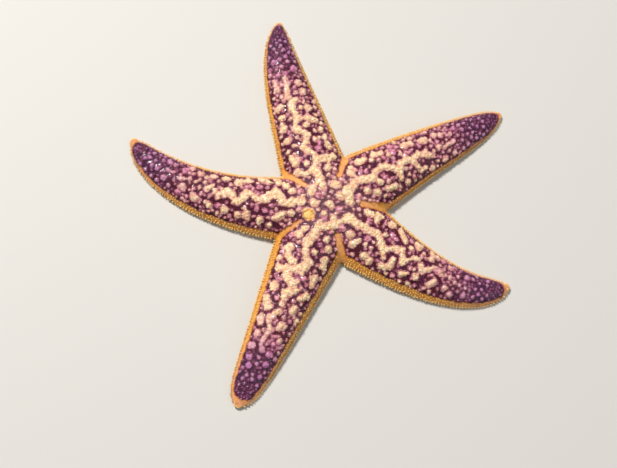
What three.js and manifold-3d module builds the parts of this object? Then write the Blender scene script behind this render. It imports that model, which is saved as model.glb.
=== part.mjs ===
// A life-size northern Pacific sea star, lying flat with its upper (aboral) side up.
// Each arm is a loft along a bending centre line. The disc is where the five arms run together.
// Millimetres, +Z up. Angles are in degrees, counter-clockwise from +X as seen from above.
import * as THREE from "three";
import { mergeVertices } from "three/addons/utils/BufferGeometryUtils.js";
import Module from "manifold-3d";

const wasm = await Module();
wasm.setup();

// ---- Driving sizes ----

// heading: where the arm leaves the disc. bend: its even turn over its length. curl: its extra turn at the tip.
// halfWidth: its half-width at the disc's centre, out to the tips of the marginal spines; taper: the share of
// that width that it loses along its length; blunt: how square its tip is. The letters run counter-clockwise
// from the arm opposite the sieve plate.
const ARMS = [
  { name: "A", length: 120.9, heading: 35.6, bend: -14, curl: 11.5, taper: 0.675, halfWidth: 23.4, blunt: 13 },
  { name: "B", length: 115.2, heading: 105.9, bend: 5.8, curl: -28, taper: 0.56, halfWidth: 21.8, blunt: 6 },
  { name: "C", length: 118.7, heading: 186.2, bend: -40, curl: -25.5, taper: 0.59, halfWidth: 21, blunt: 8.4 },
  { name: "D", length: 119.3, heading: 246.7, bend: 1.5, curl: -5, taper: 0.63, halfWidth: 22.1, blunt: 18 },
  { name: "E", length: 115.6, heading: 323.1, bend: 12, curl: 51, taper: 0.675, halfWidth: 23.8, blunt: 13 },
];
const ROOT_HEIGHT = 17;
const HEIGHT_TAPER = 0.62;
const TIP_LIFT = 1.6; // how far the turned-up end of an arm is off the ground

const SECTION_WIDTH_POWER = 2.1; // superellipse powers of the domed upper side
const SECTION_HEIGHT_POWER = 1.35;
const MARGIN_SHARE = 0.2; // height of the widest level, as a share of the arm's height
const FLAT_SHARE = 0.8; // half-width of the flat underside, as a share of the arm's half-width

const GROOVE_HALF_WIDTH = 4.2; // the groove under each arm that holds the tube feet
const GROOVE_DEPTH = 4.6;
const GROOVE_TAPER = 0.62;
const GROOVE_END = 0.96;

const SPINE_REACH = 0.8; // how far a marginal spine stands out of the flesh
const SPINE_RADIUS = 0.9;
const SPINE_PITCH = 5.8;
const FOOT_RADIUS = 0.9;
const FOOT_PITCH = 14;
const FOOT_CLEARANCE = 0.5; // from a tube foot's end to the ground
const LAST_SPINE = 0.97; // shares of an arm's length beyond which nothing grows
const LAST_FOOT = 0.9;

const DISC_REACH = 27; // from the disc's centre to the cut across each arm's root
const MIDDLE_FROM = 0.5; // where the middle length of an arm starts, as a share of its length
const TIP_FROM = 0.78;
const GAP = 0.3; // between neighbouring pieces

const SIEVE = { radius: 2.4, height: 1.7, fromCentre: 13.5, heading: 213, sunk: 1.5 };
const MOUTH = { recessRadius: 7, recessHeight: 4.4, lipRadius: 6.2, holeRadius: 2.2, thickness: 1.4 };
const EYE_RADIUS = 0.9;

// ---- The shape of an arm ----

const LINE_STEPS = 240;

// The centre line as a function of t, from 0 at the disc's centre to 1 at the tip. It runs straight before 0.
function centreLine(arm) {
  const headingAt = (t) => {
    const along = Math.max(t, 0);
    return THREE.MathUtils.degToRad(arm.heading + arm.bend * along + arm.curl * along ** 4);
  };
  const step = arm.length / LINE_STEPS;
  const xs = [0];
  const ys = [0];
  for (let i = 0; i < LINE_STEPS; i++) {
    const heading = headingAt((i + 0.5) / LINE_STEPS);
    xs.push(xs[i] + step * Math.cos(heading));
    ys.push(ys[i] + step * Math.sin(heading));
  }
  return (t) => {
    const heading = headingAt(t);
    const at = Math.max(t, 0) * LINE_STEPS;
    const i = Math.min(Math.floor(at), LINE_STEPS - 1);
    const before = Math.min(t, 0) * arm.length;
    return {
      x: THREE.MathUtils.lerp(xs[i], xs[i + 1], at - i) + before * Math.cos(heading),
      y: THREE.MathUtils.lerp(ys[i], ys[i + 1], at - i) + before * Math.sin(heading),
      heading,
    };
  };
}

function outerHalfWidth(arm, t) {
  return arm.halfWidth * (1 - arm.taper * t) * Math.sqrt(1 - Math.max(t, 0) ** arm.blunt);
}

function fleshHalfWidth(arm, t) {
  const outer = outerHalfWidth(arm, t);
  return outer - Math.min(SPINE_REACH, 0.3 * outer);
}

function heightAt(t) {
  const along = Math.max(t, 0);
  return ROOT_HEIGHT * (1 - HEIGHT_TAPER * along ** 1.3) * Math.sqrt(1 - along ** 8);
}

function liftAt(t) {
  const turnUpFrom = 0.84;
  return TIP_LIFT * Math.max(0, (t - turnUpFrom) / (1 - turnUpFrom)) ** 2;
}

const grooveHalfWidth = (t) => GROOVE_HALF_WIDTH * (1 - GROOVE_TAPER * t);
const grooveDepth = (t) => GROOVE_DEPTH * (1 - GROOVE_TAPER * t);

// The point at a lateral offset to the left of the centre line, and a height above the arm's own base.
function placeOnArm(arm, t, offset, z) {
  const c = arm.line(t);
  return new THREE.Vector3(
    c.x - Math.sin(c.heading) * offset,
    c.y + Math.cos(c.heading) * offset,
    z + liftAt(t),
  );
}

// One cross-section as [offset, height] pairs, from the left margin over the top to the right and back below.
function bodySection(arm, t) {
  const topSteps = 5;
  const lowSteps = 2;
  const w = fleshHalfWidth(arm, t);
  const h = heightAt(t);
  const margin = MARGIN_SHARE * h;
  const half = [];
  for (let i = topSteps; i >= 0; i--) {
    const a = (i / topSteps) * (Math.PI / 2);
    half.push([
      w * Math.abs(Math.cos(a)) ** (2 / SECTION_WIDTH_POWER),
      margin + (h - margin) * Math.sin(a) ** (2 / SECTION_HEIGHT_POWER),
    ]);
  }
  for (let i = 1; i <= lowSteps; i++) {
    const a = (i / lowSteps) * (Math.PI / 2);
    half.push([
      w * (FLAT_SHARE + (1 - FLAT_SHARE) * Math.cos(a)),
      margin * (1 - Math.sin(a)),
    ]);
  }
  const right = half.map(([x, z]) => [-x, z]);
  const left = half.slice(1).reverse();
  return [...left, ...right];
}

// The groove's cross-section: a roof narrower than its mouth, cut from below the ground level.
function grooveSection(arm, t) {
  const w = grooveHalfWidth(t);
  const deep = grooveDepth(t);
  const below = -2 - TIP_LIFT;
  const roof = 0.4;
  const wall = 0.3;
  return [
    [w, below],
    [w, wall * deep],
    [roof * w, deep],
    [-roof * w, deep],
    [-w, wall * deep],
    [-w, below],
  ];
}

// A closed solid through one cross-section per station, capped by fans at both ends.
function loft(arm, section, stations) {
  const rings = stations.map((t) => section(arm, t).map(([x, z]) => placeOnArm(arm, t, x, z)));
  const count = rings[0].length;
  const positions = [];
  const triangle = (a, b, c) => positions.push(...a.toArray(), ...b.toArray(), ...c.toArray());
  for (let i = 0; i + 1 < rings.length; i++) {
    for (let j = 0; j < count; j++) {
      const k = (j + 1) % count;
      triangle(rings[i][j], rings[i + 1][k], rings[i + 1][j]);
      triangle(rings[i][j], rings[i][k], rings[i + 1][k]);
    }
  }
  for (const [ring, faces] of [[rings[0], -1], [rings[rings.length - 1], 1]]) {
    const middle = new THREE.Vector3();
    ring.forEach((p) => middle.addScaledVector(p, 1 / count));
    for (let j = 0; j < count; j++) {
      const k = (j + 1) % count;
      if (faces > 0) triangle(middle, ring[j], ring[k]);
      else triangle(middle, ring[k], ring[j]);
    }
  }
  return new THREE.BufferGeometry().setAttribute(
    "position",
    new THREE.Float32BufferAttribute(positions, 3),
  );
}

// Shares of the length at which sections stand, closer together towards the rounded tip.
function stationsBetween(from, to, steps) {
  const crowding = 0.62;
  return Array.from({ length: steps + 1 }, (_, i) => {
    const even = i / steps;
    const eased = Math.sin((even * Math.PI) / 2);
    return from + (to - from) * THREE.MathUtils.lerp(even, eased, crowding);
  });
}

// ---- Solids ----

function solidOf(geometry, matrix) {
  const bare = new THREE.BufferGeometry();
  bare.setAttribute("position", geometry.getAttribute("position").clone());
  if (geometry.index) bare.setIndex(geometry.index.clone());
  if (matrix) bare.applyMatrix4(matrix);
  const merged = mergeVertices(bare, 1e-4);
  return new wasm.Manifold(
    new wasm.Mesh({
      numProp: 3,
      vertProperties: new Float32Array(merged.getAttribute("position").array),
      triVerts: new Uint32Array(merged.index.array),
    }),
  );
}

function geometryOf(solid) {
  const mesh = solid.getMesh();
  return new THREE.BufferGeometry()
    .setAttribute("position", new THREE.BufferAttribute(mesh.vertProperties, 3))
    .setIndex(new THREE.BufferAttribute(mesh.triVerts, 1));
}

const unionOf = (solids) => solids.reduce((a, b) => a.add(b));

// Keeps what lies more than half a gap ahead of the upright plane through a point, facing a heading.
function keepAhead(solid, point, heading) {
  const normal = [Math.cos(heading), Math.sin(heading), 0];
  const offset = normal[0] * point.x + normal[1] * point.y + GAP / 2;
  return solid.trimByPlane(normal, offset);
}

const keepBehind = (solid, point, heading) => keepAhead(solid, point, heading + Math.PI);

function spineSolid(arm, t, side) {
  const length = 2.2 * SPINE_REACH;
  const upright = new THREE.ConeGeometry(SPINE_RADIUS, length, 3, 1);
  upright.translate(0, length / 2, 0);
  const level = MARGIN_SHARE * heightAt(t);
  const tip = placeOnArm(arm, t, side * outerHalfWidth(arm, t), level);
  const root = placeOnArm(arm, t, side * (outerHalfWidth(arm, t) - length), level);
  const outward = tip.clone().sub(root).normalize();
  const turn = new THREE.Quaternion().setFromUnitVectors(new THREE.Vector3(0, 1, 0), outward);
  return solidOf(upright, new THREE.Matrix4().compose(root, turn, new THREE.Vector3(1, 1, 1)));
}

function footSolid(arm, t, side) {
  const sunk = 0.8;
  const radius = FOOT_RADIUS * (1 - 0.45 * t);
  const top = grooveDepth(t) + sunk;
  const length = top - FOOT_CLEARANCE;
  const upright = new THREE.CylinderGeometry(0.8 * radius, radius, length, 4, 1);
  upright.rotateX(Math.PI / 2);
  const offset = side * (grooveHalfWidth(t) * 0.4 + 0.2);
  const at = placeOnArm(arm, t, offset, (top + FOOT_CLEARANCE) / 2);
  return solidOf(upright, new THREE.Matrix4().makeTranslation(at));
}

// Pairs of one kind of outgrowth along a stretch of an arm, clear of the cuts at the stretch's ends.
function pairsAlong(arm, make, pitch, from, to) {
  const clear = 1.6 / arm.length;
  const step = pitch / arm.length;
  const pairs = [];
  for (let t = step; t < to - clear; t += step) {
    if (t > from + clear) pairs.push(make(arm, t, 1), make(arm, t, -1));
  }
  return pairs;
}

const feetAlong = (arm, from, to) =>
  pairsAlong(arm, footSolid, FOOT_PITCH, from, Math.min(to, LAST_FOOT));

const spinesAlong = (arm, from, to) =>
  pairsAlong(arm, spineSolid, SPINE_PITCH, from, Math.min(to, LAST_SPINE));

// ---- The pieces ----

const BODY_STEPS = 12;
const bodyStations = stationsBetween(-0.05, 0.995, BODY_STEPS);
const grooveStations = [0, ...bodyStations.filter((t) => t > 0 && t < GROOVE_END)];
const discShare = (arm) => DISC_REACH / arm.length;

for (const arm of ARMS) {
  arm.line = centreLine(arm);
  arm.loft = solidOf(loft(arm, bodySection, bodyStations));
  arm.root = arm.line(discShare(arm));
  arm.groove = solidOf(loft(arm, grooveSection, grooveStations));
}

// The upright plane between an arm and the next one, through the disc's centre.
function headingBetween(arm, next) {
  const from = Math.atan2(arm.root.y, arm.root.x);
  const turn = Math.atan2(next.root.y, next.root.x) - from;
  return from + THREE.MathUtils.euclideanModulo(turn, 2 * Math.PI) / 2;
}

const centre = new THREE.Vector3();
const grooves = unionOf(ARMS.map((arm) => arm.groove));

const recess = (radius, height) =>
  new THREE.CylinderGeometry(radius, radius, height, 16).rotateX(Math.PI / 2);

const MATERIALS = {
  skin: new THREE.MeshStandardMaterial({ color: 0x6b3358, roughness: 0.5, metalness: 0 }),
  sieve: new THREE.MeshStandardMaterial({ color: 0xe3bc62, roughness: 0.6, metalness: 0 }),
  mouth: new THREE.MeshStandardMaterial({ color: 0xc98a5e, roughness: 0.45, metalness: 0 }),
  eye: new THREE.MeshStandardMaterial({ color: 0xb0301c, roughness: 0.35, metalness: 0 }),
};

const body = new THREE.Group();

function addPiece(name, material, geometry) {
  const mesh = new THREE.Mesh(geometry, material);
  mesh.name = name;
  body.add(mesh);
  return mesh;
}

// The height of the disc's own surface above a point, from the arm whose middle it is nearest.
function discTop(x, y) {
  const heights = ARMS.map((arm) => {
    const c = arm.line(0);
    const along = x * Math.cos(c.heading) + y * Math.sin(c.heading);
    const across = -x * Math.sin(c.heading) + y * Math.cos(c.heading);
    const t = along / arm.length;
    const share = Math.min(1, Math.abs(across) / fleshHalfWidth(arm, t));
    const margin = MARGIN_SHARE * heightAt(t);
    const rise = (1 - share ** SECTION_WIDTH_POWER) ** (1 / SECTION_HEIGHT_POWER);
    return along < -0.05 * arm.length ? 0 : margin + (heightAt(t) - margin) * rise;
  });
  return Math.max(...heights);
}

// The disc, with its mouth, its sieve plate's seat and the start of each groove.
{
  const heading = THREE.MathUtils.degToRad(SIEVE.heading);
  const x = SIEVE.fromCentre * Math.cos(heading);
  const y = SIEVE.fromCentre * Math.sin(heading);
  const seatFloor = discTop(x, y) - SIEVE.sunk;

  let disc = unionOf(ARMS.map((arm) => arm.loft));
  for (const arm of ARMS) disc = keepBehind(disc, arm.root, arm.root.heading);
  const mouthRecess = solidOf(recess(MOUTH.recessRadius, 2 * MOUTH.recessHeight));
  const seat = solidOf(
    recess(SIEVE.radius + GAP, 10),
    new THREE.Matrix4().makeTranslation(x, y, seatFloor + 5),
  );
  disc = disc.subtract(grooves).subtract(mouthRecess).subtract(seat);
  for (const arm of ARMS) {
    disc = unionOf([disc, ...feetAlong(arm, MOUTH.recessRadius / arm.length, discShare(arm))]);
  }
  addPiece("disc", MATERIALS.skin, geometryOf(disc));

  const dome = [];
  const steps = 3;
  for (let i = 0; i <= steps; i++) {
    const a = (i / steps) * (Math.PI / 2);
    dome.push(new THREE.Vector2(SIEVE.radius * Math.cos(a), 0.5 * SIEVE.height * (1 + Math.sin(a))));
  }
  dome[steps].x = 0;
  const profile = [new THREE.Vector2(0, 0), new THREE.Vector2(SIEVE.radius, 0), ...dome];
  const plate = addPiece(
    "sieve_plate",
    MATERIALS.sieve,
    new THREE.LatheGeometry(profile, 16).rotateX(Math.PI / 2),
  );
  plate.position.set(x, y, seatFloor + GAP);
}

// The mouth's membrane: a ring with a rounded lip, hung in its recess.
{
  const lip = MOUTH.thickness / 2;
  const profile = [
    new THREE.Vector2(MOUTH.holeRadius, 0),
    new THREE.Vector2(MOUTH.holeRadius + lip, -lip),
    new THREE.Vector2(MOUTH.lipRadius, -lip),
    new THREE.Vector2(MOUTH.lipRadius, lip),
    new THREE.Vector2(MOUTH.holeRadius + lip, lip),
    new THREE.Vector2(MOUTH.holeRadius, 0),
  ];
  const ring = addPiece(
    "mouth",
    MATERIALS.mouth,
    new THREE.LatheGeometry(profile, 12).rotateX(Math.PI / 2),
  );
  ring.position.z = MOUTH.recessHeight - GAP - lip;
}

// Each arm in three lengths, with an eyespot under its tip.
ARMS.forEach((arm, index) => {
  const next = ARMS[(index + 1) % ARMS.length];
  const previous = ARMS[(index + ARMS.length - 1) % ARMS.length];
  const quarter = Math.PI / 2;
  let flesh = arm.loft.subtract(grooves);
  flesh = keepAhead(flesh, arm.root, arm.root.heading);
  flesh = keepBehind(flesh, centre, headingBetween(arm, next) + quarter);
  flesh = keepAhead(flesh, centre, headingBetween(previous, arm) + quarter);

  const eyeShare = 1 - (2.2 * EYE_RADIUS) / arm.length;
  const eyeAt = placeOnArm(arm, eyeShare, 0, 0.1 * EYE_RADIUS);
  const socket = new THREE.SphereGeometry(EYE_RADIUS + GAP, 8, 5);
  flesh = flesh.subtract(solidOf(socket, new THREE.Matrix4().makeTranslation(eyeAt)));

  const cuts = [discShare(arm), MIDDLE_FROM, TIP_FROM, 1];
  ["base", "middle", "tip"].forEach((part, i) => {
    const [from, to] = [cuts[i], cuts[i + 1]];
    let piece = flesh;
    if (i > 0) piece = keepAhead(piece, arm.line(from), arm.line(from).heading);
    if (to < 1) piece = keepBehind(piece, arm.line(to), arm.line(to).heading);
    piece = unionOf([piece, ...spinesAlong(arm, from, to), ...feetAlong(arm, from, to)]);
    addPiece(`arm_${arm.name}_${part}`, MATERIALS.skin, geometryOf(piece));
  });

  const eye = addPiece(`eye_${arm.name}`, MATERIALS.eye, new THREE.SphereGeometry(EYE_RADIUS, 8, 5));
  eye.position.copy(eyeAt);
});

// The origin is on the ground, below the middle of the animal's extent.
const extent = new THREE.Box3().setFromObject(body);
const middle = extent.getCenter(new THREE.Vector3());
body.position.set(-middle.x, -middle.y, -extent.min.z);

const seaStar = new THREE.Group();
seaStar.add(body);
export default seaStar;
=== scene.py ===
"""The looks of a life-size northern Pacific sea star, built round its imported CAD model.

One skin, grown from the arms' own sections, takes the place of the flesh. Its cream patches, purple ground
and orange margin are worked out in millimetres on the arms, and every tubercle, papula, spine and tube foot
that stands on the skin carries the same markings.
"""

import bpy
import numpy as np
from mathutils import Matrix, Vector
from mathutils.kdtree import KDTree


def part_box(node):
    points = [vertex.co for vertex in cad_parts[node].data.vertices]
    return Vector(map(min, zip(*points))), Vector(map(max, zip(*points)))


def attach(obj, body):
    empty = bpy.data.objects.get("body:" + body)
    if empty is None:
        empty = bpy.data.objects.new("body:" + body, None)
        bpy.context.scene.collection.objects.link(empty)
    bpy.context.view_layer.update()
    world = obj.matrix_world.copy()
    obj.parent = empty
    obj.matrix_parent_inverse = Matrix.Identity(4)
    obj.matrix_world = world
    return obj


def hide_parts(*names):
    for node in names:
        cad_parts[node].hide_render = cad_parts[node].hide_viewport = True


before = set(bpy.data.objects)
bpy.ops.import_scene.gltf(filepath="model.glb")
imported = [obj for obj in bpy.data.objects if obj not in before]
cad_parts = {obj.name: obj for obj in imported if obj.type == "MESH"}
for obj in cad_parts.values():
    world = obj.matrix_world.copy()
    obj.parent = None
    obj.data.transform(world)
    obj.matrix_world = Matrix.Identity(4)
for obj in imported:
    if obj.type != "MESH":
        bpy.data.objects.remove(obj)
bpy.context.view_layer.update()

MM = 0.001
SEED = 41

# ---- Sizes of the animal, in millimetres, as in the CAD model ----

# Each arm's length; its heading, bend and curl at the tip in degrees; the share of its width that it loses;
# its half-width at the root; and how square its tip is.
ARM_SIZES = {
    "A": (120.9, 35.6, -14, 11.5, 0.675, 23.4, 13),
    "B": (115.2, 105.9, 5.8, -28, 0.56, 21.8, 6),
    "C": (118.7, 186.2, -40, -25.5, 0.59, 21, 8.4),
    "D": (119.3, 246.7, 1.5, -5, 0.63, 22.1, 18),
    "E": (115.6, 323.1, 12, 51, 0.675, 23.8, 13),
}
LINE_STEPS = 240
ROOT_HEIGHT = 17.0
HEIGHT_TAPER = 0.62
TIP_LIFT = 1.6
TURN_UP_FROM = 0.84
WIDTH_POWER = 2.1
HEIGHT_POWER = 1.35
MARGIN_SHARE = 0.2
FLAT_SHARE = 0.8
SPINE_REACH = 0.8
GROOVE_HALF_WIDTH = 4.2
GROOVE_DEPTH = 4.6
GROOVE_TAPER = 0.62
GROOVE_END = 0.97

# ---- How far the skin lies inside the solids: the coat's depth ----

TOP_COAT = 1.2
TIP_COAT = 1.4
SIDE_COAT = 0.3
SOLE = 0.9  # the underside's spines reach down from here to the ground
GROOVE_ROOM = 0.3
GROUND_ROOM = 0.03  # under the lowest tips
CREASE_REACH = 3.0  # how softly neighbouring arms run together
SKIN_PITCH = 0.68
LEAST = 0.05
BOWL_RADIUS = 7.4  # the hollow round the mouth
BOWL_HEIGHT = 5.2
RIM = 0.6  # how softly the hollows' edges are rounded

# ---- Markings ----

# Height of the orange margin on each arm's left and right side, as a share of the arm's height.
MARGIN_TOPS = {
    "A": (0.52, 0.44),
    "B": (0.44, 0.52),
    "C": (0.48, 0.44),
    "D": (0.56, 0.54),
    "E": (0.46, 0.54),
}
# Orange wedges that run up the creases between the arms: heading in degrees, where they start, and their
# half-width there.
CREASES = [(69.8, 17, 1.5), (143, 16, 1.5), (214, 19, 1.1), (285.5, 18.5, 1.7), (1, 18.5, 1.8)]
CREASE_END = 37
CREASE_SPREAD = 1.1  # how much the half-width grows by their outer ends
LUMPS = 4  # round the edge of each larger patch
LUMP_PITCH = 2.3  # between the middles of the lumps that a patch is made of
# How far the orange runs over each arm's tip, in mm.
TIP_CAPS = {"A": 0.8, "B": 0.0, "C": 1.5, "D": 3.2, "E": 2.4}
MARK_TILE = 8.0  # side of the squares in which points are measured together
MARK_REACH = 5.0

# How far to the left the marks below lie from their offsets, at each of these ways along the arm.
MARK_SHIFTS_AT = (20, 50, 80)
MARK_SHIFTS = {
    "A": (-0.2, -0.2, -0.2),
    "B": (0.3, 0.2, -0.1),
    "C": (0.6, 0.9, 0.7),
    "D": (0.3, -0.2, -1.0),
    "E": (0.0, -0.5, -1.5),
}

# The cream ridge along each arm's middle, as (way along, offset to the left).
RIDGES = {
    "A": [(10, 0), (15, 0.3), (21, 1.3), (25, 0.3), (29, -0.5), (32, 1.5), (36, 2), (39, 1.2), (42, -1.5),
          (44.5, -5), (47, -1), (52, -0.8), (54.5, -3), (57, -1), (60, -0.7), (63, -2), (66, -3.8),
          (69, -2.8), (73, -1.8), (76, -3.2), (79, -2.8), (83, -2.5)],
    "B": [(12, 1.5), (20, 2.5), (25, -0.5), (28, -1), (31, 2), (34, 4.5), (37, 1.5), (41, 0), (45, 4.5),
          (49, 4), (51, 2), (54, 2), (57, 3.5), (61, 2.5), (63, -1)],
    "C": [(15, -1), (20, -1), (22.5, 0), (25, -1), (27, -4), (29.5, -6), (32, -4), (34, -1.5), (36, -1),
          (40, -1.5), (43, -4), (45, -4), (46.5, -1), (48.5, 2.5), (50, 2), (52, -1), (54.5, -2.5),
          (57, -1), (59.5, 1), (62, -1), (64, -3), (66, -1), (70, 0), (73, -2), (77, -2), (80, -1),
          (82, 0), (86, -1.5), (90, -1)],
    "D": [(10, 6.5), (12, 3), (14.5, 0), (19, -1), (22, -1), (26, -2), (30, -1.5), (33, 1), (35, 3),
          (38, 2), (40, -1), (42, -3), (44, -5), (46, -4.5), (48, -2), (50, 1), (51.5, 3), (53, 0),
          (55, -2), (58, -1), (61, -0.5), (65, -0.5), (67, -2), (69.5, -3.5), (72, -3), (75, -0.5),
          (78, -1), (81, -1.5), (84, -1.5), (87, 0), (91, 0.5)],
    "E": [(13.5, 0), (19.5, 0), (24, 0.5), (28, 1.5), (30.5, 2.5), (33, 1), (35.5, -1), (37.5, -3),
          (40, -2), (41.5, 0), (44, 1.5), (47, 2.5), (48.5, 0), (50, -2), (52, -1), (54, 2), (57.5, 3.5),
          (60, 1), (62, -0.5), (65, 1.5), (67, 4), (70, 3.5), (72, 2), (75, 2.5), (77.5, 3)],
}

# Cream patches beside the ridge, as chains of (way along, offset to the left, radius). A chain runs together.
PATCHES = {
    "A": [
        [(29, -1, 1.6), (31, -4.5, 1.3)], [(44.5, -5, 1.6), (44, -8, 1.2)],
        [(54.5, -3, 1.3), (56, -7, 1.2), (57, -9, 1.3), (60, -8.7, 1.2)],
        [(19.5, 7.5, 1.7)], [(22.5, 11, 1)], [(27.5, 11, 2.2), (31, 11, 1.4)], [(34, 8.5, 1.2)],
        [(37, 10.5, 1.8), (41, 9.5, 1.6)], [(44, 6.5, 1)], [(52, 12, 1)], [(55, 7.5, 2.2)],
        [(59, 7, 1.7)], [(66.5, 5.5, 2.2)], [(74, 5.5, 1.5)], [(77.5, 4, 1.6)], [(83, 2.2, 1)],
        [(91, 5, 1)], [(91, 2, 1)], [(21.5, -6, 1.5)], [(27, -8.5, 1.9)], [(30.5, -12, 1)],
        [(34, -9.8, 1.6), (38, -10, 1.8)], [(41, -11.5, 0.8)], [(47, -11.3, 1.5)], [(49, -8, 0.9)],
        [(51.5, -12, 1)], [(64.5, -10, 1.6)], [(69, -8.2, 0.8)], [(74, -9, 1.9)], [(78, -6, 0.7)],
        [(81, -8, 1.4)], [(91, -6.5, 1)],
    ],
    "B": [
        [(31, 2, 1.5), (34, 4.5, 1.5)], [(20, 2.5, 1.5), (19, 7, 1.3)],
        [(25, -1, 1.8), (24.5, -6, 2), (25, -10.5, 1.8)],
        [(65, 3, 1.4), (69, 2.8, 1.4), (73, 1.5, 1.2), (76.5, 2, 1.1)],
        [(21.5, 10.5, 1.6)], [(24.5, 5, 1.3)], [(27, 10.5, 2.3), (30.5, 11.5, 1.2)], [(34.5, 12, 1.4)],
        [(36.5, 8, 1.3)], [(40.5, 10.5, 1.8)], [(44.5, 12.8, 0.7)], [(48, 10.5, 1.9), (51, 10.5, 1)],
        [(52, 5.5, 0.9)], [(54.5, 9.5, 1.6)], [(60, 10, 1.5), (61, 8, 1.3)], [(67, 10, 1)],
        [(70, 9, 0.6)], [(71, 7.5, 1.3), (76, 7.5, 1.3)], [(81, 8.7, 1)], [(19, -5.5, 1.7)],
        [(31.5, -10, 2), (33.5, -10, 1.6)], [(37, -9.5, 1.6)], [(37, -3.5, 1.2)], [(37.5, -6, 1)],
        [(42.5, -9, 1.6)], [(42, -5, 1)], [(46.5, -1.5, 1.4)], [(46, -10.5, 0.9)],
        [(48.5, -6.5, 1.7), (50.5, -3, 1.5)], [(51.5, -8.5, 1)], [(56.5, -5.5, 2)], [(57, -1.5, 1)],
        [(60, -11, 1.3)], [(66.5, -6, 2)], [(72.5, -4.5, 1.8)], [(84, 2, 1)], [(87, -2, 1)],
    ],
    "C": [
        [(25, -1, 2.2), (27, -4, 2.2), (29.5, -6, 2.2), (32, -4, 2.1)],
        [(20.5, 5, 1.4)], [(25.5, 6, 2), (28.5, 8, 1.5)], [(31, 11, 1.2)], [(36, 9, 1.8)],
        [(43, 8, 1.9)], [(44.5, 4.5, 1)], [(47.5, 8, 1.4)], [(54.5, 7.5, 1.9)], [(57.5, 9.5, 0.8)],
        [(62.5, 7, 1.6)], [(65, 6, 1)], [(71, 6, 2)], [(78.5, 3, 1.9)], [(85.5, 5.5, 1)],
        [(89.5, 3.5, 1.3)], [(92, 6, 0.8)], [(95, 1.5, 1)], [(98.5, 1.5, 1)], [(20, -7.5, 1.6)],
        [(23.5, -11, 2.2)], [(27.5, -12, 1.8), (29, -15, 1.8)], [(33, -12, 1.5)], [(37, -14, 2.4)],
        [(45, -11.5, 2.2)], [(50, -9.5, 2.4)], [(58, -10, 2)], [(65.5, -9, 1.8)], [(72.5, -7.5, 1.8)],
        [(78.5, -9, 1.4)], [(88, -6, 1)], [(92, -6, 1.3)],
    ],
    "D": [
        [(42, -4, 1.6), (42.5, -7, 1.6), (43.5, -10.5, 1.8)],
        [(19.5, 6.5, 1.4)], [(23.5, 9, 1.8)], [(28.5, 3.5, 1.5)], [(29.5, 10, 2.2), (33, 10.5, 2)],
        [(35.5, 12.5, 0.8)], [(41, 9, 2), (45, 9.5, 1.8)], [(42, 2, 0.8)], [(47, 2, 0.8)],
        [(51.5, 9, 1.8), (54.5, 6.5, 1.2)], [(60, 6, 1.8), (62.5, 6, 1.5)], [(65, 10, 1.2)],
        [(71.5, 4, 2.2)], [(67.5, 10, 0.8)], [(73, 9.5, 0.7)], [(76.5, 9.5, 0.7)], [(78.5, 6.5, 1.5)],
        [(88, 8, 0.9)], [(104, 5.5, 0.8)], [(19, -7, 1.2)], [(22.5, -8, 1.7)], [(31, -9.5, 2.4)],
        [(35.5, -8.5, 1.8), (37.5, -5, 1.5)], [(38, -12, 1.3)], [(49, -12, 0.7)], [(52, -13, 0.7)],
        [(54, -12, 0.8)], [(53, -8, 2.2)], [(61, -9, 2), (64.5, -6.5, 1.8)], [(66, -11, 0.8)],
        [(71, -7.5, 2), (73.5, -6.5, 1.5)], [(79.5, -5.5, 1.8)], [(86.5, -5.5, 1.8)],
    ],
    "E": [
        [(13.5, 0, 2.4)], [(37.5, -3, 1.5), (40, -6, 1.4)],
        [(45.5, -5, 1.4), (46, -8, 1.5), (43, -10.5, 1.5), (41, -10.5, 1.3)],
        [(20, 9, 1.7), (22.5, 9.5, 1.4)], [(26.5, 12, 2.4), (26.5, 8, 1.2)], [(35, 12, 2.3)],
        [(35, 4.5, 1.2)], [(42, 12, 2), (45.5, 9, 1.9)], [(51, 6.5, 1.2)], [(54, 11, 2.4)],
        [(63.5, 11, 1.8)], [(64, 7.5, 1.6)], [(67.5, 11, 1.6)], [(76.5, 8.5, 1.3)], [(82, 5, 1)],
        [(87.5, 6.5, 1.2)], [(19.5, -7, 1.7)], [(23, -10.5, 2), (25, -6.5, 1)], [(29, -6.5, 0.9)],
        [(31, -11.5, 1.8), (35.5, -11.5, 1.8)], [(39, -14, 0.9)], [(46, -12, 0.9)],
        [(52.5, -8, 1.5), (55, -6.5, 1)], [(54, -11.5, 1)], [(58, -10, 0.9)], [(60.5, -5.5, 1.8)],
        [(68, -5.5, 1.6), (70, -3, 1.5)], [(76.5, -3.5, 1.5)], [(80, -5.5, 1.5)], [(87, -4, 1.3)],
        [(92, -3.5, 0.9)],
    ],
}

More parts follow.
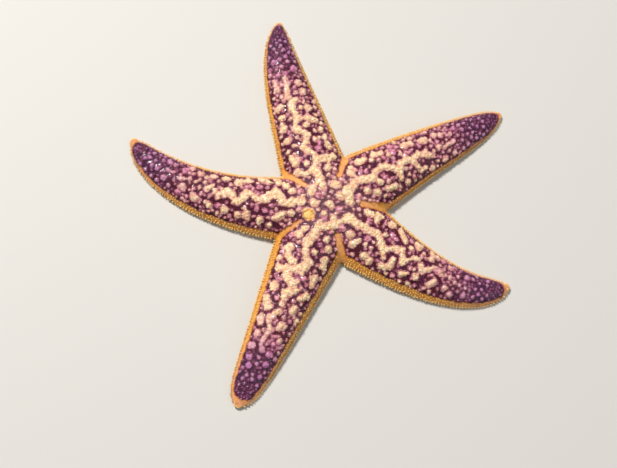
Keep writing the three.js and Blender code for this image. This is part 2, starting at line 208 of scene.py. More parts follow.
# Pink and lilac spots between the patches.
PINKS = {
    "A": [(47.5, 7, 1.5), (48, 11, 1.2), (87, 4.5, 1), (25, 6, 0.9), (27.5, 4.5, 1), (41.5, 4, 0.8),
          (44.5, 1.5, 0.9), (52.5, 2.5, 0.7), (57, 2.8, 0.8), (62.5, 4.5, 0.8), (62.5, 2.8, 0.7),
          (73.5, 1, 0.8), (35, -3.5, 0.9), (38.5, -6, 0.8)],
    "B": [(79.5, 5, 1.1), (79.5, 1, 1), (27.5, 7, 1), (84, 8, 1), (88, 5.5, 1.3), (31.5, -4, 1.3),
          (34.5, -5.5, 1), (82, -4, 1.6), (89, 2, 1), (90, -1.5, 1)],
    "C": [(30.5, 5, 1), (34, 4.5, 1), (31, 1.5, 1), (38.5, 4, 1), (41, 2.5, 1), (58, 6, 1.2),
          (79.5, 6.5, 1.2), (38, -8.5, 1.2), (81.5, -6, 1.5)],
    "D": [(23.5, 4.5, 1), (44, 4, 1.2), (82, 4.5, 1.1), (87.5, 4.5, 1.5), (93, 5, 1.3), (99.5, 5, 1),
          (24.5, -11.5, 1.2), (47.5, -10, 0.9), (92.5, -4, 1.2), (96.5, -3, 1.2)],
    "E": [(23.5, 5, 1), (38.5, 7, 1.4), (41.5, 6, 1.1), (69, 4, 1.5), (72, 11, 1.6), (13.5, -7, 1.3),
          (28, -3.5, 1.2)],
}

# Small spots strewn between the marks above, in turn: how many are tried, their radii, the room they need,
# how far out they lie as shares of the half-width, how far along as shares of the length, and their tints.
DOT_ROWS = [
    (500, (0.75, 1.15), 0.55, (0, 0.74), (0.05, 0.62), (0.2, 0.9)),
    (240, (0.65, 0.95), 1.1, (0, 0.76), (0.6, 0.88), (0.3, 0.9)),
    (900, (0.4, 0.7), 0.5, (0, 0.8), (0.02, 0.7), (0.5, 1.0)),
    (400, (0.35, 0.6), 0.8, (0.74, 0.88), (0.2, 0.84), (0.3, 0.7)),
    (700, (0.22, 0.34), 0.9, (0, 0.85), (0.66, 0.97), (1.0, 1.0)),
]

# The disc's patches and pink spots, as (x, y, radius) from the middle of the disc.
DISC_PATCHES = [
    [(0, -1, 1.9)], [(3.5, 10, 2.6)], [(-8.5, -0.8, 2)], [(5.5, 3.5, 1.7)],
    [(11, 1, 2.2), (10.5, 7.5, 2.4), (14, 11.5, 1.8), (18, 14, 1.8)],
    [(-3.5, 9, 1.9), (-5, 12.5, 2.2), (-7, 18, 1.9)], [(-9, 8, 2), (-10, 5.5, 1.8)],
    [(-15, 0.5, 1.8), (-20, -0.5, 1.8)], [(11, -8, 2.6), (16, -12, 2)],
    [(11, -8, 2), (5.5, -11, 1.5), (2.5, -12.5, 2)], [(2, -8.5, 1.7), (2.5, -12, 2), (-1, -13.5, 1.8),
     (-5.5, -13.5, 2), (-8, -18, 1.9), (-12, -22, 1.9)], [(-3, -6.5, 1.2)], [(-11, -7.2, 3.1)],
    [(-20.5, -6.5, 1.4)], [(-13.5, -15.5, 1.2)], [(-17, -17.5, 1.7)], [(13, 17, 1.5)],
    [(12.5, 21, 1.2)], [(0, 20.5, 1.6)], [(-16.5, 17, 1.8)], [(-13.5, 15.5, 0.8)], [(-20, 6, 1.7)],
    [(21, 8, 1.7)], [(21, -5, 1.6)], [(12, -17.5, 1.8)], [(-1.5, -20.5, 1.5)],
]
DISC_PINKS = [
    (-2.7, -9.8, 1.3), (5.5, -4, 1.3), (-3, 6, 1), (-5.5, 4, 1.2), (-16.5, -4.5, 1), (-20, -18.5, 1),
    (8, 13, 1.1), (1.5, 15, 0.8), (-15.5, 6, 1.2), (16.5, 4, 1.2), (22, -9.5, 1.1), (16, -3, 1),
    (7, -14, 1.1), (0, -16.5, 0.8),
]


def smooth_step(low, high, value):
    share = np.clip((value - low) / (high - low), 0, 1)
    return share * share * (3 - 2 * share)


def smooth_max(a, b, reach):
    near = np.clip(1 - np.abs(a - b) / reach, 0, 1)
    return np.maximum(a, b) + 0.25 * reach * near * near


def unit(vectors):
    return vectors / np.maximum(np.linalg.norm(vectors, axis=-1, keepdims=True), 1e-9)


def left_of(ahead):
    """The directions a quarter turn to the left of ahead, on the ground plane."""
    return np.stack([-ahead[..., 1], ahead[..., 0]], axis=-1)


def kd_tree(points):
    tree = KDTree(len(points))
    for i, point in enumerate(points.tolist()):
        tree.insert(point, i)
    tree.balance()
    return tree


def put_in_scene(name, data):
    """A new object in the scene, which holds data."""
    thing = bpy.data.objects.new(name, data)
    bpy.context.scene.collection.objects.link(thing)
    return thing


def lattice_noise(points, size, seed):
    """Smooth noise from -1 to 1, with features of about size millimetres."""
    side = 32
    table = np.random.default_rng([SEED, seed]).uniform(-1, 1, (side, side, side))
    at = points / size
    low = np.floor(at).astype(int)
    share = at - low
    share = share * share * (3 - 2 * share)
    total = np.zeros(len(points))
    for corner in np.ndindex(2, 2, 2):
        weight = np.where(corner, share, 1 - share).prod(axis=1)
        total += weight * table[tuple(((low + corner) % side).T)]
    return total


# ---- The arms ----


class Arm:
    """An arm's centre line and skin section. A place on it is s, the way along the line from the disc's
    middle, and d, the offset to the line's left, both in millimetres."""

    def __init__(self, name, length, heading, bend, curl, taper, root, blunt):
        self.name = name
        self.length = length
        self.taper = taper
        self.root = root
        self.blunt = blunt
        self.step = length / LINE_STEPS

        def heading_at(t):
            return np.radians(heading + bend * t + curl * t**4)

        middles = heading_at((np.arange(LINE_STEPS) + 0.5) / LINE_STEPS)
        steps = self.step * np.stack([np.cos(middles), np.sin(middles)], axis=1)
        self.line = np.vstack([[0, 0], np.cumsum(steps, axis=0)])
        self.headings = heading_at(np.arange(LINE_STEPS + 1) / LINE_STEPS)
        self.ahead = np.stack([np.cos(self.headings), np.sin(self.headings)], axis=1)

    def locate(self, xy):
        """The place (s, d) of each point of the ground plane."""
        s = np.empty(len(xy))
        d = np.empty(len(xy))
        lengths = (self.line**2).sum(axis=1)
        chunk = 20000
        for start in range(0, len(xy), chunk):
            part = slice(start, start + chunk)
            nearest = np.argmin(lengths - 2 * xy[part] @ self.line.T, axis=1)
            away = xy[part] - self.line[nearest]
            ahead = self.ahead[nearest]
            s[part] = nearest * self.step + (away * ahead).sum(axis=1)
            d[part] = ahead[:, 0] * away[:, 1] - ahead[:, 1] * away[:, 0]
        return s, d

    def point(self, s, d):
        """The ground-plane points of places on the arm, and the arm's direction there."""
        at = np.arange(LINE_STEPS + 1) * self.step
        heading = np.interp(s, at, self.headings)
        ahead = np.stack([np.cos(heading), np.sin(heading)], axis=-1)
        x = np.interp(s, at, self.line[:, 0])
        y = np.interp(s, at, self.line[:, 1])
        before = np.minimum(s, 0)
        xy = np.stack([x, y], axis=-1) + ahead * before[..., None] + left_of(ahead) * d[..., None]
        return xy, ahead

    def outer_half_width(self, t):
        return self.root * (1 - self.taper * t) * np.sqrt(1 - t**self.blunt)

    def section(self, s, d):
        """The skin's section there: share of the half-width, half-width, top, widest level, sole, lift."""
        t = np.clip(s / (self.length - TIP_COAT), 0, 1)
        outer = self.outer_half_width(t)
        half = np.maximum(outer - np.minimum(SPINE_REACH, 0.3 * outer) - SIDE_COAT, LEAST)
        full = ROOT_HEIGHT * (1 - HEIGHT_TAPER * t**1.3) * np.sqrt(1 - t**8)
        level = MARGIN_SHARE * full
        top = np.maximum(full - TOP_COAT * (1 - 0.5 * t), level + LEAST)
        sole = np.minimum(SOLE, 0.4 * level)
        aside = np.where(s < 0, np.hypot(s, d), np.abs(d))
        return aside / half, half, top, level + 0.5 * LEAST, sole, lift_at(t)

    def depth(self, s, d, z):
        """About how deep a point lies in the arm's flesh, without its groove. Outside it is negative."""
        share, half, top, level, sole, lift = self.section(s, d)
        rise = (z - lift - level) / (top - level)
        over = np.clip(rise, 0, None)
        inside = 1 - share**WIDTH_POWER - over**HEIGHT_POWER
        slope = np.hypot(
            WIDTH_POWER * share ** (WIDTH_POWER - 1) / half,
            HEIGHT_POWER * over ** (HEIGHT_POWER - 1) / (top - level),
        )
        upper = inside / np.maximum(slope, 0.4 / half)
        corner = 1 - FLAT_SHARE
        out = np.clip((share - FLAT_SHARE) / corner, 0, None)
        down = np.clip((level - (z - lift)) / (level - sole), 0, None)
        reach = np.maximum(np.hypot(out, down), 1e-3)
        slope = np.hypot(out / (corner * half), down / (level - sole)) / reach
        lower = (1 - reach) / np.maximum(slope, 0.4 / half)
        past_tip = np.clip(s - (self.length - TIP_COAT), 0, None)
        return np.clip(np.where(rise > 0, upper, lower), -9, 9) - past_tip

    def groove(self, s, d, z):
        """About how deep a point lies in the arm's groove."""
        t = np.clip(s / self.length, 0, 1)
        close = np.sqrt(np.clip(1 - (t / GROOVE_END) ** 10, 0, 1))
        wide = groove_half_width(t) * close + LEAST
        tall = groove_depth(t) * close + LEAST
        up = np.clip(z - lift_at(t), 0, None)
        before = np.clip(-s, 0, None)
        return (1 - np.hypot(np.hypot(d, before) / wide, up / tall)) * np.minimum(wide, tall)

    def top_at(self, s, d):
        share, _, top, level, _, lift = self.section(s, d)
        dome = np.clip(1 - share**WIDTH_POWER, 0, 1) ** (1 / HEIGHT_POWER)
        return lift + level + (top - level) * dome


def lift_at(t):
    return TIP_LIFT * (np.clip((t - TURN_UP_FROM) / (1 - TURN_UP_FROM), 0, 1)) ** 2


def groove_half_width(t):
    return GROOVE_HALF_WIDTH * (1 - GROOVE_TAPER * t) + GROOVE_ROOM


def groove_depth(t):
    return GROOVE_DEPTH * (1 - GROOVE_TAPER * t) + GROOVE_ROOM


ARMS = [Arm(name, *sizes) for name, sizes in ARM_SIZES.items()]


def box_middle(node):
    """A node's middle, in millimetres, in the frame's own coordinates."""
    low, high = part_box(node)
    return np.array((low + high) / 2) / MM


# The animal's own coordinates have their origin on the ground below the mouth.
DISC_MIDDLE = box_middle("mouth") * (1, 1, 0)


def in_frame(places):
    return (places + DISC_MIDDLE) * MM


def node_span(node):
    """A node's middle in the animal's coordinates, with its lowest and highest levels."""
    low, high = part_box(node)
    return box_middle(node) - DISC_MIDDLE, low.z / MM, high.z / MM


SIEVE_PLACE, SIEVE_LOW, SIEVE_HIGH = node_span("sieve_plate")
SIEVE_RADIUS = 2.4
_, MOUTH_LOW, MOUTH_HIGH = node_span("mouth")
EYE_RADIUS = 0.68  # an eyespot fills the lower part of its plain node
EYES = {arm.name: node_span(f"eye_{arm.name}")[0] - [0, 0, 0.2] for arm in ARMS}


# ---- The flesh as a depth field ----


def hollow_depth(places, x, y, z):
    """About how deep a point lies in a groove, the mouth's bowl, the sieve plate's seat or an eye socket."""
    hollow = np.full(x.shape, -9.0)
    for arm, (s, d) in zip(ARMS, places):
        hollow = np.maximum(hollow, arm.groove(s, d, z))
    up = np.clip(z, 0, None) / BOWL_HEIGHT
    bowl = (1 - ((np.hypot(x, y) / BOWL_RADIUS) ** 4 + up**4) ** 0.25) * BOWL_HEIGHT
    from_sieve = np.hypot(x - SIEVE_PLACE[0], y - SIEVE_PLACE[1])
    seat = np.minimum(SIEVE_RADIUS + 0.15 - from_sieve, z - SIEVE_LOW + 0.1)
    hollow = np.maximum(np.maximum(hollow, bowl), seat)
    for eye in EYES.values():
        away = np.sqrt((x - eye[0]) ** 2 + (y - eye[1]) ** 2 + (z - eye[2]) ** 2)
        hollow = np.maximum(hollow, EYE_RADIUS + 0.1 - away)
    return hollow


def flesh_depth(places, x, y, z):
    """About how deep a point lies in the flesh. places holds its place on every arm."""
    depths = np.sort([arm.depth(s, d, z) for arm, (s, d) in zip(ARMS, places)], axis=0)
    reach = CREASE_REACH * np.clip((np.hypot(x, y) - 6) / 16, 0.15, 1) * np.clip(z / 4, 0.1, 1)
    joined = smooth_max(depths[-1], depths[-2], reach)
    return -smooth_max(-joined, hollow_depth(places, x, y, z), RIM)


def depth_of(points):
    places = [arm.locate(points[:, :2]) for arm in ARMS]
    return flesh_depth(places, *points.T)


SLOPE_STEP = 0.12
LONGEST_MOVE = 0.4


def slope_of(points):
    """The depth's gradient, by central differences."""
    slopes = np.empty_like(points)
    for axis in range(3):
        shift = np.eye(3)[axis] * SLOPE_STEP
        slopes[:, axis] = (depth_of(points + shift) - depth_of(points - shift)) / (2 * SLOPE_STEP)
    return slopes


def settle(points, rounds=2):
    """Moves points near the surface on to it, and gives the outward normals there."""
    for _ in range(rounds):
        slopes = slope_of(points)
        steep = np.maximum((slopes**2).sum(axis=1), 0.2)
        move = -(depth_of(points) / steep)[:, None] * slopes
        points = points + np.clip(move, -LONGEST_MOVE, LONGEST_MOVE)
    return points, -unit(slope_of(points))


def depth_grid():
    """The depth on a regular grid round the animal, with the grid's lowest corner."""
    reach = 4.0
    spans = [arm.line for arm in ARMS]
    low = np.min([line.min(axis=0) for line in spans], axis=0) - reach
    high = np.max([line.max(axis=0) for line in spans], axis=0) + reach
    xs = np.arange(low[0], high[0], SKIN_PITCH)
    ys = np.arange(low[1], high[1], SKIN_PITCH)
    zs = np.arange(-1.0, ROOT_HEIGHT + 0.6, SKIN_PITCH)
    x, y = (g.ravel() for g in np.meshgrid(xs, ys, indexing="ij"))
    places = [arm.locate(np.stack([x, y], axis=1)) for arm in ARMS]
    near = np.zeros(len(x), bool)
    for arm, (s, d) in zip(ARMS, places):
        share, half = arm.section(s, d)[:2]
        near |= (share * half < half + 2) & (s < arm.length + 1)
    near_places = [(s[near], d[near]) for s, d in places]
    grid = np.full((len(x), len(zs)), -1.0)
    for k, z in enumerate(zs):
        level = np.full(near.sum(), z)
        grid[near, k] = flesh_depth(near_places, x[near], y[near], level)
    return grid.reshape(len(xs), len(ys), len(zs)), np.array([xs[0], ys[0], zs[0]])


def surface_net(grid, low):
    """Quads round the inside of a grid: one vertex in each cell that the surface crosses."""
    inside = grid > 0
    corners = np.array([[i, j, k] for i in (0, 1) for j in (0, 1) for k in (0, 1)])
    size = np.array(grid.shape) - 1
    filled = sum(
        inside[i : i + size[0], j : j + size[1], k : k + size[2]].astype(np.int8) for i, j, k in corners
    )
    cells = np.argwhere((filled > 0) & (filled < 8))
    number = np.full(size, -1)
    number[tuple(cells.T)] = np.arange(len(cells))
    total = np.zeros((len(cells), 3))
    crossings = np.zeros((len(cells), 1))
    for a in corners:
        for axis in range(3):
            if a[axis]:
                continue
            b = a + np.eye(3, dtype=int)[axis]
            at_a = grid[tuple((cells + a).T)]
            at_b = grid[tuple((cells + b).T)]
            crossed = (at_a > 0) != (at_b > 0)
            share = np.where(crossed, at_a / np.where(crossed, at_a - at_b, 1), 0)
            total += crossed[:, None] * (a + share[:, None] * (b - a))
            crossings += crossed[:, None]
    vertices = low + (cells + total / crossings) * SKIN_PITCH
    quads = []
    for axis in range(3):
        along, one, two = np.roll(np.eye(3, dtype=int), -axis, axis=0)
        ahead = np.roll(inside, -1, axis=axis)
        changed = np.argwhere(inside != ahead)
        changed = changed[(changed > 0).all(axis=1) & (changed < size).all(axis=1)]
        ring = np.stack(
            [number[tuple((changed - step).T)] for step in (0 * one, one, one + two, two)], axis=1
        )
        outward = inside[tuple(changed.T)]
        ring[~outward] = ring[~outward][:, ::-1]
        quads.append(ring)
    return vertices, np.concatenate(quads)


# ---- Markings ----


class Markings:
    """The patches and spots, as capsules on the upper surface, each with a tint from 0, cream, to 1, pink."""

    def __init__(self):
        self.ends = []
        self.radii = []
        self.tints = []

    def on_surface(self, xy):
        heights = [arm.top_at(*arm.locate(xy)) for arm in ARMS]
        return np.column_stack([xy, np.max(heights, axis=0)])

    def add_chain(self, xy, radii, tints):
        points = self.on_surface(np.asarray(xy, float))
        if len(points) == 1:
            points = np.repeat(points, 2, axis=0) + [[0, 0, 0], [0.01, 0, 0]]
            radii = [radii[0]] * 2
            tints = [tints[0]] * 2
        for i in range(len(points) - 1):
            self.ends.append(points[i : i + 2])
            self.radii.append(radii[i : i + 2])
            self.tints.append(np.mean(tints[i : i + 2]))

    def add_cluster(self, xy, radii, tints, rng, spill=0.0):
        """A chain with smaller lumps round its edge, for an uneven outline. spill moves them outwards."""
        xy = np.asarray(xy, float)
        radii = np.asarray(radii, float)
        self.add_chain(xy, radii, tints)
        for point, radius, tint in zip(xy, radii, tints):
            for turn in rng.uniform(0, 2 * np.pi, LUMPS if radius > 1.1 else 1):
                away = (rng.uniform(0.6, 0.95) + spill) * radius * np.array([np.cos(turn), np.sin(turn)])
                lump = (rng.uniform(0.35, 0.55) + 0.5 * spill) * radius
                self.add_chain([point + away], [lump], [min(1, tint + rng.uniform(0, 0.3))])

    def measure(self, points, softness=0.28):
        """How far inside the nearest patch each point is, in mm, and the tint there."""
        ends = np.array(self.ends)
        radii = np.array(self.radii)
        tints = np.array(self.tints)
        low = ends[:, :, :2].min(axis=1)
        high = ends[:, :, :2].max(axis=1)
        inside = np.full(len(points), -MARK_REACH)
        tint = np.zeros(len(points))
        tiles = np.floor(points[:, :2] / MARK_TILE).astype(int)
        tiles, tile_of = np.unique(tiles, axis=0, return_inverse=True)
        order = np.argsort(tile_of.ravel())
        starts = np.searchsorted(tile_of.ravel()[order], np.arange(len(tiles) + 1))
        for tile, start, end in zip(tiles, starts[:-1], starts[1:]):
            part = order[start:end]
            corner = tile * MARK_TILE - MARK_REACH
            near = ((high > corner) & (low < corner + MARK_TILE + 2 * MARK_REACH)).all(axis=1)
            if near.any():
                inside[part], tint[part] = nearest_patch(
                    points[part], ends[near], radii[near], tints[near], softness
                )
        return inside, tint


def nearest_patch(p, ends, radii, tints, softness):
    """How far inside the nearest of some capsules each point is, and the tint there."""
    a = ends[:, 0]
    ab = ends[:, 1] - a
    squared = (ab**2).sum(axis=1)
    along = p @ ab.T - (a * ab).sum(axis=1)
    h = np.clip(along / squared, 0, 1)
    from_a = (p**2).sum(axis=1)[:, None] - 2 * p @ a.T + (a**2).sum(axis=1)
    away = np.sqrt(np.clip(from_a - 2 * h * along + h * h * squared, 0, None))
    depth = (radii[:, 0] * (1 - h) + radii[:, 1] * h - away) / softness
    best = depth.max(axis=1)
    weights = np.exp(depth - best[:, None])
    total = weights.sum(axis=1)
    return softness * (best + np.log(total)), (weights @ tints) / total


def tint_at(t):
    """Patches turn from cream to pink towards an arm's tip."""
    return 0.7 * smooth_step(0.45, 0.8, t)


def add_dots(markings, arm, count, size, clear, band, stretch, tints, rng):
    """Adds up to count round spots, each at least clear away from every other patch."""
    s = rng.uniform(*stretch, count) * arm.length
    side = rng.choice([-1, 1], count)
    half = arm.section(s, np.zeros(count))[1]
    d = side * rng.uniform(*band, count) * half
    off_disc = smooth_step(0.1, 0.2, s / arm.length)
    clear = clear * (2.2 - 1.2 * off_disc)
    xy = arm.point(s, d)[0]
    radii = rng.uniform(*size, count)
    points = markings.on_surface(xy)
    owner_depth, _ = markings.measure(points)
    free = owner_depth < -clear - radii
    kept = np.array(thin(points[free], (2 * radii + clear)[free]), int)
    paler = 0.4 + 0.6 * off_disc
    for i in np.flatnonzero(free)[kept]:
        markings.add_chain(xy[i : i + 1], [radii[i]], [paler[i] * rng.uniform(*tints)])


def thin(points, spacing):
    """Indices of the points that keep their own spacing from every point kept before them."""
    tree = kd_tree(points)
    free = np.ones(len(points), bool)
    kept = []
    for i, (point, radius) in enumerate(zip(points.tolist(), spacing.tolist())):
        if free[i]:
            kept.append(i)
            for _, j, _ in tree.find_range(point, radius):
                free[j] = False
    return kept


def mark_places(arm, s, d):
    """The ground-plane points of marks read off an arm."""
    return arm.point(s, d + np.interp(s, MARK_SHIFTS_AT, MARK_SHIFTS[arm.name]))[0]


def add_ridge(markings, arm, rng):
    """The cream ridge: lumpy and unbroken at first, and a row of separate patches towards the tip."""
    places = np.array(RIDGES[arm.name], float)
    t = places[:, 0] / arm.length
    radii = 1.25 + 0.35 * smooth_step(0.12, 0.25, t) - 0.7 * smooth_step(0.3, 0.85, t)
    radii *= rng.uniform(0.6, 1.25, len(t))
    xy = mark_places(arm, *places.T)
    breaks = np.flatnonzero((t > 0.5) & (rng.random(len(t)) < 0.6))
    for part in np.split(np.arange(len(t)), breaks):
        markings.add_cluster(xy[part], radii[part], tint_at(t[part]), rng, spill=0.25)


def make_markings():
    markings = Markings()
    for index, arm in enumerate(ARMS):
        rng = np.random.default_rng([SEED, index])
        add_ridge(markings, arm, rng)
        for chain in PATCHES[arm.name]:
            along = np.array([place[0] for place in chain]) / arm.length
            s, d, radius = np.array(chain, float).T
            markings.add_cluster(mark_places(arm, s, d), radius, tint_at(along), rng)
        s, d, radius = np.array(PINKS[arm.name], float).T
        for xy, size in zip(mark_places(arm, s, d), radius):
            markings.add_cluster([xy], [size], [1.0], rng)
        for row in DOT_ROWS:
            add_dots(markings, arm, *row, rng)
    rng = np.random.default_rng([SEED, len(ARMS)])
    for chain in DISC_PATCHES:
        places = np.array(chain, float)
        markings.add_cluster(places[:, :2], places[:, 2], [0.0] * len(chain), rng)
    for x, y, radius in DISC_PINKS:
        markings.add_cluster([[x, y]], [radius], [0.9], rng)
    return markings


def crease_depth(x, y):
    """How far inside the nearest orange wedge a point is, seen from above."""
    depth = np.full(x.shape, -9.0)
    for heading, start, width in CREASES:
        angle = np.radians(heading)
        along = x * np.cos(angle) + y * np.sin(angle)
        across = -x * np.sin(angle) + y * np.cos(angle)
        share = np.clip((along - start) / (CREASE_END - start), 0, 1)
        away = np.hypot(along - (start + share * (CREASE_END - start)), across)
        depth = np.maximum(depth, np.where(share < 1, width + share * CREASE_SPREAD - away, -9))
    return depth


def lump_shares(points, blotch, along):
    """How near each point is to the middle of one of its patch's lumps: 1 in the middle, 0 between them."""
    inside = np.flatnonzero(blotch > 0.1)
    inside = inside[np.argsort(-blotch[inside])]
    pitch = LUMP_PITCH * (1 - 0.35 * smooth_step(0.5, 1, along[inside]))
    middles = kd_tree(points[inside[thin(points[inside], pitch)]])
    lump = np.zeros(len(points))
    near = np.flatnonzero(blotch > -1)
    away = np.array([middles.find(point)[2] for point in points[near].tolist()])
    lump[near] = np.clip(1 - away / (0.62 * LUMP_PITCH), 0, 1)
    return lump


# ---- The skin's mesh ----


def places_on_own_arm(vertices, places, owner):
    """How far along its own arm each vertex lies, as a share, and how far below the orange margin's top."""
    along = np.empty(len(vertices))
    margin = np.empty(len(vertices))
    for i, (arm, (s, d)) in enumerate(zip(ARMS, places)):
        mine = owner == i
        _, _, top, _, _, lift = arm.section(s[mine], d[mine])
        along[mine] = np.clip(s[mine], 0, None) / arm.length
        left, right = MARGIN_TOPS[arm.name]
        side = 0.5 * np.clip(d[mine] / 2, -1, 1)
        margin[mine] = (left * (0.5 + side) + right * (0.5 - side)) * top - (vertices[mine, 2] - lift)
    return along, margin


def patch_depth(vertices, normals, along, margin):
    """How far inside the nearest patch each vertex lies, with uneven edges, and the patch's tint."""
    blotch, tint = make_markings().measure(vertices)
    uneven = 0.4 * lattice_noise(vertices, 1.5, 1) + 0.3 * lattice_noise(vertices, 3.2, 2)
    blotch += 0.1 + uneven * (1 - 0.65 * smooth_step(0.55, 0.85, along))
    blotch -= 0.9 * smooth_step(-0.9, 0, margin)  # patches shrink beside the margin
    blotch += 1.8 * smooth_step(0.965, 0.99, along)  # and the last of the tip is all one patch
    return np.clip(blotch, -3, 3) - 6 * smooth_step(0.1, -0.3, normals[:, 2]), tint


def make_skin():
    """The skin's vertices, quads and everything that the coat and the materials read from them."""
    vertices, quads = surface_net(*depth_grid())
    vertices, normals = settle(vertices)
    places = [arm.locate(vertices[:, :2]) for arm in ARMS]
    depths = np.array([arm.depth(s, d, vertices[:, 2]) for arm, (s, d) in zip(ARMS, places)])
    owner = depths.argmax(axis=0)
    along, margin = places_on_own_arm(vertices, places, owner)
    blotch, tint = patch_depth(vertices, normals, along, margin)
    caps = np.array([TIP_CAPS[arm.name] for arm in ARMS])[owner]
    margin += caps * smooth_step(0.93, 0.98, along)
    fray = 0.5 * lattice_noise(vertices, 2.4, 3) + 0.3 * lattice_noise(vertices, 1.1, 4)
    crease = crease_depth(vertices[:, 0], vertices[:, 1])
    lump = lump_shares(vertices, blotch, along)
    values = {
        "blotch": blotch,
        "tint": tint,
        "lump": lump,
        "orange": np.clip(np.maximum(margin, crease) + fray, -4, 4),
        "along": along,
        "under": smooth_step(0.1, -0.6, normals[:, 2]),
    }
    dome = 1 - (1 - lump) ** 2
    swell = 0.65 * smooth_step(-0.6, 1.1, blotch) + 0.5 * dome * smooth_step(-0.4, 0.3, blotch)
    swell *= smooth_step(0.3, -0.4, values["orange"])
    vertices = vertices + normals * swell[:, None]
    return {"place": vertices, "normal": normals, "owner": owner, "quads": quads, **values}


MARKS = ("blotch", "tint", "lump", "orange", "along", "under")


def make_mesh(name, vertices, quads, triangles=np.zeros((0, 3), int)):
    """A smooth-shaded mesh from vertices in the animal's millimetres."""
    mesh = bpy.data.meshes.new(name)
    mesh.vertices.add(len(vertices))
    mesh.vertices.foreach_set("co", in_frame(vertices).astype(np.float32).ravel())
    mesh.loops.add(quads.size + triangles.size)
    mesh.loops.foreach_set("vertex_index", np.concatenate([quads.ravel(), triangles.ravel()]))
    mesh.polygons.add(len(quads) + len(triangles))
    starts = np.concatenate([
        np.arange(len(quads)) * 4,
        quads.size + np.arange(len(triangles)) * 3,
    ])
    mesh.polygons.foreach_set("loop_start", starts)
    mesh.update(calc_edges=True)
    mesh.shade_smooth()
    return mesh


def set_values(mesh, values):
    for name, numbers in values.items():
        mesh.attributes.new(name, "FLOAT", "POINT").data.foreach_set("value", numbers.astype(np.float32))


def set_map(mesh, corners):
    """The UV map, one pair of numbers for each face corner."""
    uv_map = mesh.uv_layers.new(name="OFBake")
    uv_map.data.foreach_set("uv", corners.astype(np.float32).ravel())


def add_object(mesh, material, replaced=()):
    """Puts a finished mesh in the scene, riding on the one body."""
    piece = put_in_scene(mesh.name, mesh)
    mesh.materials.append(material)
    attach(piece, "root")
    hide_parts(*replaced)
    return piece


# ---- The unwrap: a strip for each arm, its upper side and its underside ----

STRIP_LENGTH = 128.0
STRIP_HALF = 41.0
TUFT_PATCH = 0.0014  # half the side of a tuft's own patch


def girth(arm, s, d, z, under):
    """The way round the arm's section from the middle of its top or of its groove, negative on the right."""
    if not under:
        top = arm.section(s, np.zeros_like(d))[2]
        return np.sign(d) * (np.abs(d) + np.clip(top - z, 0, None))
    t = np.clip(s / arm.length, 0, 1)
    inward = np.where(np.abs(d) < groove_half_width(t), -1, 1)
    return np.sign(d) * (np.abs(d) + GROOVE_DEPTH + inward * z)


def skin_corners(skin):
    """Each quad corner's place on the unwrap: five rows of arms, upper sides left and undersides right."""
    quads = skin["quads"]
    faces_down = skin["normal"][quads][:, :, 2].mean(axis=1) < -0.2
    owners = skin["owner"][quads[:, 0]]
    corners = np.empty((len(quads), 4, 2))
    for index, arm in enumerate(ARMS):
        for under in (False, True):
            mine = (owners == index) & (faces_down == under)
            points = skin["place"][quads[mine].ravel()]
            s, d = arm.locate(points[:, :2])
            round_it = girth(arm, s, d, points[:, 2], under)
            u = (under + (s + 5) / (STRIP_LENGTH + 6)) / 2
            v = (index + 0.5 + 0.5 * np.clip(round_it / STRIP_HALF, -1, 1)) / len(ARMS)
            corners[mine] = np.stack([u, v], axis=1).reshape(-1, 4, 2)
    return corners


# ---- The coat ----


def peg(sides, profile):
    """A closed peg up +Z: rings of (radius, height), and a point in the middle of each end."""
    turns = np.arange(sides) * 2 * np.pi / sides
    round_it = np.stack([np.cos(turns), np.sin(turns)], axis=1)
    rings = [np.column_stack([radius * round_it, np.full(sides, height)]) for radius, height in profile[:-1]]
    ends = [[0, 0, profile[0][1]], [0, 0, profile[-1][1]]]
    vertices = np.vstack([*rings, ends])
    bottom, point = len(vertices) - 2, len(vertices) - 1
    last = sides * (len(rings) - 1)
    quads, triangles = [], []
    for j in range(sides):
        k = (j + 1) % sides
        for ring in range(len(rings) - 1):
            low, high = ring * sides, (ring + 1) * sides
            quads.append([low + j, low + k, high + k, high + j])
        triangles.append([bottom, k, j])
        triangles.append([point, last + j, last + k])
    return vertices, np.array(quads), np.array(triangles)


# Profiles as (radius, height) from the root to the point; a peg is then scaled across and along.
TUBERCLE = peg(7, [(1, -0.6), (1.02, 0.1), (0.84, 0.55), (0.45, 0.88), (0, 1)])
PAPULA = peg(5, [(0.8, -0.3), (1, 0.4), (0.6, 0.85), (0, 1)])
BLUNT_SPINE = peg(6, [(0.95, -0.3), (0.8, 0.45), (0.86, 0.8), (0.5, 0.97), (0, 1)])
FLAT_SPINE = peg(7, [(0.9, -0.2), (0.72, 0.35), (0.8, 0.7), (0.74, 0.9), (0.42, 0.98), (0, 1)])
TUBE_FOOT = peg(9, [(1.15, -0.08), (0.9, 0.12), (0.84, 0.3), (0.88, 0.5), (0.8, 0.72), (0.84, 0.86),
                    (1.3, 0.93), (1.25, 0.98), (0.7, 1.0), (0, 0.95)])


def frames_for(axes, rng):
    """A right-handed frame for each axis, as rows, turned at random about it."""
    helper = np.where(np.abs(axes[:, 2:]) < 0.8, [[0, 0, 1.0]], [[1.0, 0, 0]])
    side = unit(np.cross(helper, axes))
    other = np.cross(axes, side)
    turn = rng.uniform(0, 2 * np.pi, len(axes))[:, None]
    first = np.cos(turn) * side + np.sin(turn) * other
    return np.stack([first, np.cross(axes, first), axes], axis=1)


